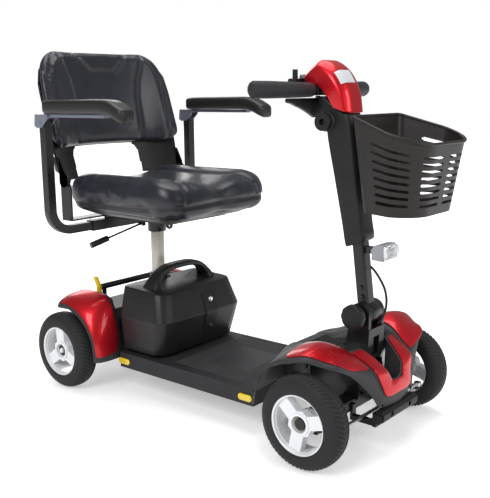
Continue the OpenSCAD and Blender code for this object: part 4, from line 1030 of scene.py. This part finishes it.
# %% Seat base under the pad
base_rings = []
for height, inset in ((0.5155, 0.075), (0.518, 0.062), (0.5225, 0.050), (0.532, 0.030), (0.5405, 0.022),
        (0.5412, 0.026)):
    shrink = 1 - inset / 0.22
    flat = np.array([-0.2625, 0.0]) + (seat_outline - np.array([-0.2625, 0.0])) * shrink
    base_rings.append(np.column_stack([flat, np.full(len(flat), height)]))
seat_base = lofted("seat_base", dense(base_rings, 26), dark_moulding, "seat")
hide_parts("seat_pan")

# %% [markdown]
# ## Back cushion
# The back is hollowed from side to side and leans a little. Its pad follows the same leaning,
# hollow surface as its shell. Long seams run up both sides and spread above; near the top two
# short ones slant in to a small stitched panel, and the lower corners are rounded.

# %% Back cushion
def back_edge(z):
    """x of the backrest's side edges at a height: it leans back 0.30 for each unit of height."""
    return -0.439 - (z - 0.622) * 0.30

def back_depth(z):
    """How far the middle lies behind the side edges at a height."""
    return np.where(z < 0.7, 0.088, 0.088 - (z - 0.7) * 0.2)

def back_surface(y, z):
    """The hollow surface: x = edge - depth * (1 - min(1, |y| / 0.245) ^ 2.2)."""
    x = back_edge(z) - back_depth(z) * (1 - np.minimum(1, np.abs(y) / 0.245) ** 2.2)
    return np.stack([x, y, z], -1)

side_z = np.concatenate([np.linspace(0.748, 0.900, 40),
    0.900 + 0.096 * np.sin(np.linspace(0, 1, 36) * np.pi / 2)])
side_y = np.interp(side_z, [0.706, 0.75, 0.86, 0.90], [0.2500, 0.2535, 0.2535, 0.2500])
top_round = np.clip((side_z - 0.900) / 0.096, 0, 1)
side_y = side_y - 0.088 * (1 - np.sqrt(np.maximum(1 - top_round ** 2.1, 0)))
corner = np.radians(np.linspace(-90, 0, 14))
low_y = side_y[0] - 0.040 + 0.040 * np.cos(corner)
low_z = 0.708 + 0.040 + 0.040 * np.sin(corner)
half_y, half_z = np.concatenate([low_y, side_y]), np.concatenate([low_z, side_z])
ring = np.concatenate([np.stack([half_y, half_z], 1), np.stack([-half_y[::-1], half_z[::-1]], 1)])
back_outline = evenly(ring, 320)[0]

def back_place(flat, level):
    """Each point stands off the hollow surface along its forward normal, by level * thickness."""
    y, z = flat[..., 0], flat[..., 1]
    step = 0.001
    slope_y = (back_surface(y + step, z) - back_surface(y - step, z)) / (2 * step)
    slope_z = (back_surface(y, z + step) - back_surface(y, z - step)) / (2 * step)
    forward = np.cross(slope_y, slope_z)
    forward /= np.linalg.norm(forward, axis=-1, keepdims=True)
    thick = 0.031 + 0.004 * np.clip(1 - (y / 0.12) ** 2, 0, 1)
    return back_surface(y, z) + forward * (level * thick)[..., None]

back_profile = [[0.0, 0.0], [0.5, 0.0], [0.93, 0.0], [0.975, 0.14], [0.998, 0.45], [0.99, 0.74],
    [0.965, 0.93], [0.90, 1.0], [0.5, 1.0], [0.0, 1.0]]
back_pad = cushion("back_pad", back_outline, (0.0, 0.85), back_place, vinyl, "backrest",
    back_profile, 240)
blown_up(back_pad, cap=0.005)
spots = positions(back_pad)
x, y, z = spots.T
flat = np.stack([np.abs(y), z], 1)
inner_seam = [[0.128, 0.69], [0.128, 0.86], [0.137, 0.91], [0.155, 0.955], [0.170, 1.01]]
outer_seam = [[0.216, 0.69], [0.214, 0.80], [0.213, 0.90], [0.205, 0.95], [0.186, 1.0]]
slant_seam = [[0.112, 1.005], [0.078, 0.962], [0.046, 0.934], [0.0, 0.934]]
front_side = back_surface(y, z)[:, 0] + 0.015 < x
seams = np.min([to_line(flat, line) for line in (inner_seam, outer_seam, slant_seam)], axis=0)
sewn(back_pad, np.where(front_side, seams, 1.0), 0.0036, 0.0085)
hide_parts("back_cushion")
print("back pad", len(back_pad.data.polygons), "faces")

# %% Round cords
def closed_cord(name, path, radius, material, body, sides=10):
    """A thin round cord on a closed path: rings turn about the path's own tangent."""
    tangent = np.roll(path, -1, 0) - np.roll(path, 1, 0)
    tangent /= np.linalg.norm(tangent, axis=1, keepdims=True)
    side = np.cross(tangent, [1.0, 0.0, 0.3])
    side /= np.linalg.norm(side, axis=1, keepdims=True)
    other = np.cross(tangent, side)
    turn = np.linspace(0, 2 * np.pi, sides, endpoint=False)[None, :, None]
    rings = path[:, None] + radius * (np.cos(turn) * side[:, None] + np.sin(turn) * other[:, None])
    faces = grid_faces(rings.shape[0], sides, True, True)
    return outward(new_piece(name, rings, faces, material, body))

# %% [markdown]
# ## Back shell
# Behind the pad is a thin moulded shell. Its two legs run down to the hinges, with an open window
# between them: we lay a grid over the leaning surface, leave out the window's cells, and then
# give the sheet its thickness.

# %% Back shell and its hinge plates
def shell_half(z):
    """Half width of the shell at a height: a little inside the pad's edge."""
    return np.interp(z, [0.612, 0.65, 0.75, 0.86, 0.90, 0.94, 0.965, 0.985],
        [0.236, 0.240, 0.247, 0.247, 0.243, 0.226, 0.200, 0.160])

SHELL_ROWS, SHELL_COLS = 150, 141
height, share = np.meshgrid(np.linspace(0.618, 0.986, SHELL_ROWS), np.linspace(-1, 1, SHELL_COLS),
    indexing="ij")
shell_y = share * shell_half(height)
shell_points = back_surface(shell_y, height)
shell_points -= np.sign(grid_normals(shell_points)[..., :1]) * grid_normals(shell_points) * 0.0028
cells = grid_faces(SHELL_ROWS, SHELL_COLS)
cell_y = shell_y.reshape(-1)[cells].mean(1)
cell_z = height.reshape(-1)[cells].mean(1)
window_half = 0.132 - 0.020 * np.clip((cell_z - 0.680) / 0.032, 0, 1) ** 2
in_window = (np.abs(cell_y) < window_half) & (cell_z < 0.712)
back_shell = new_piece("back_shell_smooth", shell_points, cells[~in_window], shell_black, "backrest")
faced(back_shell, (1, 0, 0.3))
thickened(back_shell, 0.0055, 0.0012)
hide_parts("back_shell")

turn = np.radians(np.linspace(20, 200, 20))[::-1] + np.pi
hinge_round = np.stack([-0.439 + 0.017 * np.cos(turn), 0.622 + 0.017 * np.sin(turn)], 1)
hinge_outline = np.concatenate([hinge_round,
    [[-0.432, 0.645], [-0.455, 0.690], [-0.481, 0.690], [-0.474, 0.650]]])
for side, mark in SIDES:
    side_plate("hinge_plate_" + mark, hinge_outline, side * 0.2372, side * 0.2438, shell_black, "backrest",
        0.0012)

# %% [markdown]
# # Tiller
# The red head is a shell that wraps over the top of the column like a hood. We give it seven
# cross-sections between an upper and a lower line, and round each one.

# %% Head cover
head_lines = np.array([[393, 817, 352, 829, 44], [384, 868, 340, 850, 47], [362, 910, 326, 868, 49],
    [332, 936, 312, 880, 48], [304, 943, 300, 884, 46], [276, 926, 284, 884, 42],
    [262, 912, 272, 884, 40]]) * MM
section = np.array([[0, -1], [0.62, -1], [0.86, -0.8], [1, -0.42], [1, 0.42], [0.86, 0.8], [0.62, 1],
    [0, 1]])

def hood(rows, cols):
    """Point = lower + t * (upper - lower), and half width * side, with (t, side) along the section."""
    lines = dense(head_lines, rows)
    lift, side = dense(section, cols).T
    lift, side = np.clip(lift, 0, 1.0), np.clip(side, -1, 1)
    x = lines[:, 2:3] + (lines[:, 0:1] - lines[:, 2:3]) * lift
    z = lines[:, 3:4] + (lines[:, 1:2] - lines[:, 3:4]) * lift
    return np.stack([x, lines[:, 4:5] * side, z], -1)

hood_points = hood(61, 57)
head_shell = new_piece("tiller_hood", hood_points, grid_faces(61, 57), flake_red, "tiller")
faced(head_shell, (0.5, 0, 1))
thickened(head_shell, 0.003, 0.0012)
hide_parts("head_cover")

# %% Blank label plate on the hood
plate = pick(hood_points, *np.meshgrid(np.linspace(14.5, 22.5, 15), np.linspace(16, 31, 17), indexing="ij"))
plate_piece = new_piece("hood_plate", plate, grid_faces(15, 17), plate_silver, "tiller")
faced(plate_piece, (1, 0, 0.4))
thickened(plate_piece, 0.0012, 0.0004, outwards=True)

# %% [markdown]
# ## Column cover
# A long tapered box with soft corners covers the steering column. It is a loft of superellipse
# sections between a front line and a rear line.

# %% Column cover
front_line = np.array([[404, 502], [428, 508], [434, 522], [428, 556], [410, 680], [392, 806], [372, 822],
    [340, 842], [318, 857]]) * MM
rear_line = np.array([[388, 492], [380, 494], [375, 510], [368, 548], [345, 656], [325, 745], [317, 800],
    [303, 832], [293, 857]]) * MM

def superellipse(count, power):
    """Points with |cos|^p and |sin|^p: a box with round corners for p well below 1."""
    t = np.linspace(0, 2 * np.pi, count, endpoint=False)
    c, s = np.cos(t), np.sin(t)
    return np.sign(c) * np.abs(c) ** power, np.sign(s) * np.abs(s) ** power

def column(rows, half):
    """Each ring spans from the rear line to the front line, and across by half its width."""
    front, rear = dense(front_line, rows), dense(rear_line, rows)
    along, across = superellipse(64, 0.42)
    middle, reach = (front + rear) / 2, (front - rear) / 2
    x = middle[:, :1] + reach[:, :1] * along
    z = middle[:, 1:] + reach[:, 1:] * along
    return np.stack([x, half * across + 0 * x, z], -1)

column_piece = lofted("column_casing", column(90, 0.033), dark_moulding, "tiller")
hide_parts("column_cover")
boss_path = np.array([[0.327, y, 0.796] for y in np.linspace(-0.030, -0.041, 6)])
boss_radius = np.array([0.0245, 0.0245, 0.0245, 0.0242, 0.0232, 0.0215])
tube("charger_boss", boss_path, boss_radius, shroud_grey, "tiller", side=(1, 0, 0), sides=48)

def plate_block(name, low, high, material, body, edge):
    """A plate given by its lowest and highest corners, with every edge rounded."""
    low, high = np.array(low, float), np.array(high, float)
    unit = np.array([[0, 0, 0], [1, 0, 0], [1, 1, 0], [0, 1, 0], [0, 0, 1], [1, 0, 1], [1, 1, 1],
        [0, 1, 1]])
    faces = [[3, 2, 1, 0], [4, 5, 6, 7], [0, 1, 5, 4], [1, 2, 6, 5], [2, 3, 7, 6], [3, 0, 4, 7]]
    piece = new_piece(name, low + unit * (high - low), faces, material, body, smooth=False)
    rounded(piece, edge, 3)
    return piece

plate_block("basket_bracket", (0.430, -0.036, 0.650), (0.434, 0.036, 0.760), frame_black, "tiller",
    0.0015)
for number, height in enumerate((0.660, 0.708)):
    plate_block("bracket_arm_%d" % number, (0.385, -0.011, height), (0.4305, 0.011, height + 0.016),
        frame_black, "tiller", 0.0012)

# %% [markdown]
# ## Basket
# The basket is one thin moulding: four walls that flare upwards, with rounded corners, a rolled
# rim and groups of long slots. We lay a grid round and up the walls and leave out the cells that
# lie in a slot, so every slot is a real hole once the wall has its thickness.

# %% Basket walls
def basket_outline(x0, x1, half, front_round, count):
    """Once round from the middle of the back: a straight back that is narrower than the front, and
    corners that are quarter ellipses, at even spacing."""
    back_r, back_half = 0.020, half * 0.80
    t = np.radians(np.linspace(0, 90, 25))
    back = np.stack([x0 + back_r - back_r * np.sin(t), back_half - back_r + back_r * np.cos(t)], 1)
    front = np.stack([x1 - front_round + front_round * np.sin(t), half * 0.42 + half * 0.58 * np.cos(t)], 1)
    half_ring = np.concatenate([[[x0, 0]], back[::-1], front, [[x1, 0]]])
    return evenly(np.concatenate([half_ring, (half_ring * [1, -1])[-2::-1]]), count)

AROUND, UP = 372, 96
low_ring, _ = basket_outline(0.462, 0.612, 0.112, 0.066, AROUND)
high_ring, high_run = basket_outline(0.446, 0.635, 0.145, 0.084, AROUND)
share = np.linspace(0, 1, UP + 1)[:, None, None]
wall_flat = low_ring[None] * (1 - share) + high_ring[None] * share
wall_top = 0.811 - 0.31 * (wall_flat[..., 0] - 0.446)
wall_z = 0.590 + (wall_top - 0.590) * share[..., 0]
wall_points = np.concatenate([wall_flat, wall_z[..., None]], -1)
cells = grid_faces(UP + 1, AROUND, wrap_cols=True)
row, place = cells[:, 0] // AROUND, cells[:, 0] % AROUND
from_front = np.abs((place + 0.5) / AROUND - 0.5) * high_run
bays = [(0.014, 0.104), (0.134, 0.244)]
inside = np.full(len(cells), -1.0)
for start, end in bays:
    inside = np.maximum(inside, np.minimum(from_front - start, end - from_front))
SLOT_ROWS = 9
step = (row - 12) % SLOT_ROWS
tall = (row >= 12) & (row < 12 + 8 * SLOT_ROWS)
slot = tall & (((step < 4) & (inside > 0.0026)) | (((step == 1) | (step == 2)) & (inside > 0)))
basket_wall = new_piece("basket_wall", wall_points, cells[~slot], basket_brown, "basket")
thickened(outward(basket_wall), 0.0028)
crisp(basket_wall)
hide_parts("basket")
print("basket", len(basket_wall.data.polygons), "faces, round the rim", round(high_run, 3), "m")

# %% Basket floor and rolled rim
floor_count = 24
floor_share = np.linspace(0.02, 1, floor_count)[:, None, None]
floor_middle = low_ring.mean(0)
floor_flat = floor_middle + (low_ring - floor_middle)[None] * floor_share
floor_points = np.concatenate([floor_flat, np.full(floor_flat.shape[:2] + (1,), 0.5905)], -1)
floor_cells = grid_faces(floor_count, AROUND, wrap_cols=True)
ring_number, spoke = floor_cells[:, 0] // AROUND, floor_cells[:, 0] % AROUND
keep = ~((spoke % 18 < 5) & (ring_number > 5) & (ring_number < 20) & (ring_number % 5 != 0))
basket_floor = new_piece("basket_floor", floor_points, floor_cells[keep], basket_brown, "basket")
faced(basket_floor, (0, 0, 1))
thickened(basket_floor, 0.003, 0.0, outwards=True)
crisp(basket_floor)
closed_cord("basket_rim", wall_points[-1], 0.0042, basket_brown, "basket", 12)
for side in (-1, 1):
    low, high = sorted((side * 0.022, side * 0.034))
    plate_block("basket_hook_" + ("r" if side < 0 else "l"), (0.4235, low, 0.738), (0.452, high, 0.768),
        basket_brown, "basket", 0.002)

# %% [markdown]
# ## Grips and throttle
# Each grip is a soft rubber sleeve, thin at the head and fuller at its end, on a bar that bends
# back. Below it a broad throttle paddle sweeps down towards the column; one paddle serves both
# hands, so it is a single loft from side to side.

# %% Grips
for side, mark in SIDES:
    knots = np.array([[0.296, 0.052, 0.8725], [0.296, 0.104, 0.8725], [0.2895, 0.150, 0.8730],
        [0.2765, 0.200, 0.8735], [0.2570, 0.246, 0.8740]])
    path = dense(knots, 80) * np.array([1.0, side, 1.0])
    run = np.linspace(0, 1, 80)
    swell = 0.0170 + 0.0032 * np.clip(run / 0.75, 0, 1)
    end = np.sqrt(np.clip(1 - (np.clip(run - 0.935, 0, 1) / 0.066) ** 2, 0.02, 1))
    start = np.clip(0.86 + run / 0.03 * 0.14, 0.86, 1)
    ribs = 1 - 0.012 * (np.cos(run * 2 * np.pi * 26) > 0.55) * (run > 0.30) * (run < 0.90)
    grip = tube("grip_" + mark, path, swell * end * start * ribs, grip_rubber, "tiller",
        side=(0, 0, 1), sides=40)
    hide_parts("handlebar_grips")

# %% Throttle paddle
across_bar = np.linspace(-0.150, 0.150, 121)
reach = np.abs(across_bar)
drop = np.clip(1 - (reach - 0.020) / 0.125, 0, 1) ** 1.7
low = 0.8390 - 0.0340 * drop + 0.004 * np.clip((reach - 0.1) / 0.05, 0, 1)
high = 0.8530 + 0 * reach
front_x = np.interp(reach, [0, 0.042, 0.110, 0.150], [0.288, 0.286, 0.290, 0.296])
rear_x = np.interp(reach, [0, 0.042, 0.110, 0.150], [0.267, 0.271, 0.277, 0.285])
tip = np.sqrt(np.clip(1 - (np.clip(reach - 0.142, 0, 1) / 0.0082) ** 2, 0.03, 1))
up_down, fore_aft = superellipse(40, 0.55)
middle_z, half_z_size = (low + high) / 2, (high - low) / 2 * tip
middle_x, half_x_size = (front_x + rear_x) / 2, (front_x - rear_x) / 2 * tip
paddle_rings = np.stack([middle_x[:, None] + half_x_size[:, None] * fore_aft,
    np.repeat(across_bar[:, None], 40, 1), middle_z[:, None] + half_z_size[:, None] * up_down], -1)
paddle = lofted("throttle_paddle", paddle_rings, dark_moulding, "throttle")
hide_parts("throttle_lever")
tube("throttle_post", np.array([[0.277, 0.0, z] for z in np.linspace(0.838, 0.858, 5)]), 0.006, plain_steel,
    "throttle", side=(0, 1, 0), sides=32)

# %% Tilt knob
lobe_turn = np.linspace(0, 2 * np.pi, 120, endpoint=False)[None, :]
knob_y = np.array([-0.0486, -0.0550, -0.0560, -0.0580, -0.0690, -0.0718, -0.0734, -0.0740])[:, None]
knob_r = np.array([0.0260, 0.0260, 0.0302, 0.0318, 0.0318, 0.0300, 0.0265, 0.0200])[:, None]
lobed = knob_r * (1 - 0.035 * (knob_r > 0.029) * (0.5 - 0.5 * np.cos(10 * lobe_turn)))
knob = lofted("tilt_knob_lobed", np.stack([0.430 + lobed * np.cos(lobe_turn), knob_y + 0 * lobed,
    0.327 + lobed * np.sin(lobe_turn)], -1), dark_moulding, "tilt_knob")
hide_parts("tilt_knob")

# %% [markdown]
# ## Battery box
# The box is widest at a crease two thirds of the way down, and its lid rises towards the rear.
# Its outline has a notch at the back that fits round the seat post. An arched handle stands on
# the lid, and a plate with the key lock is let into the front.

# %% Battery box
def box_outline(x1, half):
    """Once round: the notch's half circle, the rear wall, a side, the front, and back again."""
    t = np.radians(np.linspace(0, 90, 13))
    notch = np.stack([-0.303 + 0.0325 * np.cos(t), 0.0325 * np.sin(t)], 1)
    wall = np.array([[-0.304, 0.0325], [-0.304, 0.060], [-0.304, half - 0.014], [-0.300, half - 0.004],
        [-0.290, half], [-0.200, half], [x1 - 0.028, half], [x1 - 0.014, half - 0.008],
        [x1 - 0.005, half - 0.020], [x1, half - 0.040], [x1, half * 0.4], [x1, 0.0]])
    side = np.concatenate([notch, wall])
    return evenly(np.concatenate([side, (side * [1, -1])[-2:0:-1]]), 320)[0]

box_steps = [(0.1270, -0.150, 0.159, 0.0), (0.1280, -0.1465, 0.1625, 0.0), (0.1305, -0.1447, 0.1641, 0.0),
    (0.1800, -0.1316, 0.1691, 0.0), (0.2262, -0.1199, 0.1736, 0.0), (0.2290, -0.1192, 0.1739, 0.0),
    (0.2318, -0.1199, 0.1733, 0.0), (0.2700, -0.1313, 0.1638, 0.02), (0.3030, -0.1412, 0.1556, 0.042),
    (0.3070, -0.1428, 0.1541, 0.045), (0.3090, -0.1462, 0.1507, 0.045)]
box_rings = []
for height, x1, half, slope in box_steps:
    flat = box_outline(x1, half)
    box_rings.append(np.column_stack([flat, height + slope * (x1 - flat[:, 0])]))
battery_box = lofted("battery_box", box_rings, battery_charcoal, "battery")
crisp(battery_box, 50)
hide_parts("battery_case")

# %% Handle of the battery box
arch = dense(np.array([[-0.116, 0.304], [-0.106, 0.327], [-0.084, 0.350], [-0.050, 0.3625], [0.0, 0.365],
    [0.050, 0.3625], [0.084, 0.350], [0.106, 0.327], [0.116, 0.304]]), 90)
step = np.gradient(arch, axis=0)
step /= np.linalg.norm(step, axis=1, keepdims=True)
square, flatways = superellipse(40, 0.5)
lift_y, lift_z = -step[:, 1:2], step[:, 0:1]
foot = np.clip((0.350 - arch[:, 1:]) / 0.046, 0, 1) ** 1.6
half_wide, half_thick = 0.0195 + 0.015 * foot, 0.0085 + 0.008 * foot
handle_rings = np.stack([-0.222 + half_wide * flatways, arch[:, :1] + lift_y * half_thick * square,
    arch[:, 1:] + lift_z * half_thick * square], -1)
lofted("battery_handle", handle_rings, battery_charcoal, "battery")

# %% Lock plate, lock and lower stud
def box_front(z):
    """x of the box's front at a height."""
    return np.interp(z, [0.127, 0.229, 0.309], [-0.145, -0.119, -0.143])

a, b = pad_outline(60, 24, 0.12, 0.34)
plate_z = 0.228 + a * 0.058
plate_y = 0.031 + b * 0.026
soft_front = (box_front(plate_z - 0.004) + box_front(plate_z + 0.004)) / 2
lock_plate = new_piece("lock_plate", np.stack([soft_front + 0.0002, plate_y, plate_z], -1),
    grid_faces(60, 24), dark_moulding, "battery")
faced(lock_plate, (1, 0, 0))
thickened(lock_plate, 0.0022, 0.0008, outwards=True)
for name, y, z, radius, length, material in (("lock_ring", 0.031, 0.266, 0.0085, 0.0065, plain_steel),
        ("lock_barrel", 0.031, 0.266, 0.0060, 0.0085, chrome), ("lower_stud", 0.031, 0.184, 0.0060, 0.0050,
        bolt_black)):
    x0 = float(box_front(z))
    tube(name, np.array([[x0 + t * length, y, z] for t in (0.0, 0.4, 0.8, 0.93, 1.0)]),
        radius * np.array([1, 1, 1, 0.97, 0.86]), material, "battery", side=(0, 1, 0),
        sides=36)

# %% [markdown]
# ## Deck mat
# The mat is rubber with rows of small raised tiles and a smooth panel in the middle with a rim
# round it. All of it is one height field: the top's height is worked out for every grid point.

# %% Deck mat
MAT_X, MAT_Y = 197, 223
x, y = np.meshgrid(np.linspace(-0.110, 0.152, MAT_X), np.linspace(-0.148, 0.148, MAT_Y), indexing="ij")
tile = 0.0080
shifted = y + tile / 2 * (np.floor(x / tile) % 2)
tiles = ((x / tile) % 1 < 0.70) & ((shifted / tile) % 1 < 0.70)
to_edge = np.minimum(np.minimum(x + 0.110, 0.152 - x), 0.148 - np.abs(y))
to_panel = np.maximum(np.abs(x - 0.030) - 0.074, np.abs(y) - 0.086)
height = 0.1206 + 0.0012 * (tiles & (to_edge > 0.006) & (to_panel > 0.006))
height = np.where(np.abs(to_panel) < 0.0028, 0.1216, height)
height = np.where(to_edge < 0.0012, 0.1202, height)
mat = new_piece("deck_mat_tread", np.stack([x, y, height], -1), grid_faces(MAT_X, MAT_Y), deck_rubber,
    "chassis", smooth=False)
faced(mat, (0, 0, 1))
thickened(mat, 0.0012)
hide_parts("deck_mat")
print("deck mat tiles of", tile, "m")

# %% [markdown]
# ## Small parts of the tiller and deck
# The arm pads are soft glossy mouldings; the reflectors are pill-shaped prisms; and the control
# cable is one smooth tube between the tiller and the steering head.

# %% Arm pads
pad_steps = np.array([[-428, 12, 822, 838], [-426, 22, 817, 848], [-414, 27.5, 814.6, 853.5],
    [-300, 28.5, 814.6, 854.5], [-190, 28.5, 814.6, 854.5], [-152, 28.2, 808, 849], [-124, 27.5, 797, 837],
    [-109, 24, 792, 828], [-105, 13, 797, 818]]) * MM
for side, mark in SIDES:
    steps = dense(pad_steps, 90)
    up_down, across = superellipse(56, 0.5)
    middle, reach = (steps[:, 2] + steps[:, 3]) / 2, (steps[:, 3] - steps[:, 2]) / 2
    y = side * 0.286 + steps[:, 1:2] * across
    z = middle[:, None] + reach[:, None] * up_down
    rings = np.stack([steps[:, :1] + 0 * y, y, z], -1)
    pad = lofted("armrest_pad_" + mark, rings, pad_gloss, "armrest_" + mark)
    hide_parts("arm_pad_" + mark)

# %% Control cable
cable_route = np.array([[439, 0, 444], [446, 0, 438], [455, 0, 429], [464, 0, 418], [472, 0, 406],
    [479, 0, 393], [483, 0, 379], [485, 0, 364], [484, 0, 349], [481, 0, 335], [476, 0, 322], [469, 0, 311],
    [461.5, 0, 302]]) * MM
cable = tube("control_cable_smooth", dense(cable_route, 90), 0.003, black_rubber, "tiller",
    sides=20)
cable.parent = None
del cable["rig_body"]
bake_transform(cable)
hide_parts("control_cable")

# %% Pill reflectors
def pill(name, centre, half_length, half_height, depth, side, material, body):
    """A pill outline, domed by rings that shrink as they rise; the last ring closes in a pole."""
    t = np.linspace(0, 2 * np.pi, 64, endpoint=False)
    reach = half_length - half_height
    x = np.cos(t) * half_height + np.sign(np.cos(t)) * reach
    z = np.sin(t) * half_height
    steps = np.array([[1.0, 0.0], [1.0, 0.55], [0.965, 0.85], [0.90, 1.0], [0.5, 1.0]])
    rings = np.stack([np.stack([centre[0] + x * s, np.full(64, centre[1] + side * depth * h),
        centre[2] + z * s], -1) for s, h in steps])
    return lofted(name, rings, material, body)

count = 0
for side, mark in SIDES:
    for place, end in ((-0.281, "rear"), (0.180, "front")):
        lens = pill("reflector_%s_%s" % (end, mark), (place, side * 0.1784, 0.095), 0.023, 0.009, 0.004,
            side, yellow_prism, "chassis")
        count += 1
        if count == 1:
            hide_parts("side_reflectors")
print("reflectors", count)
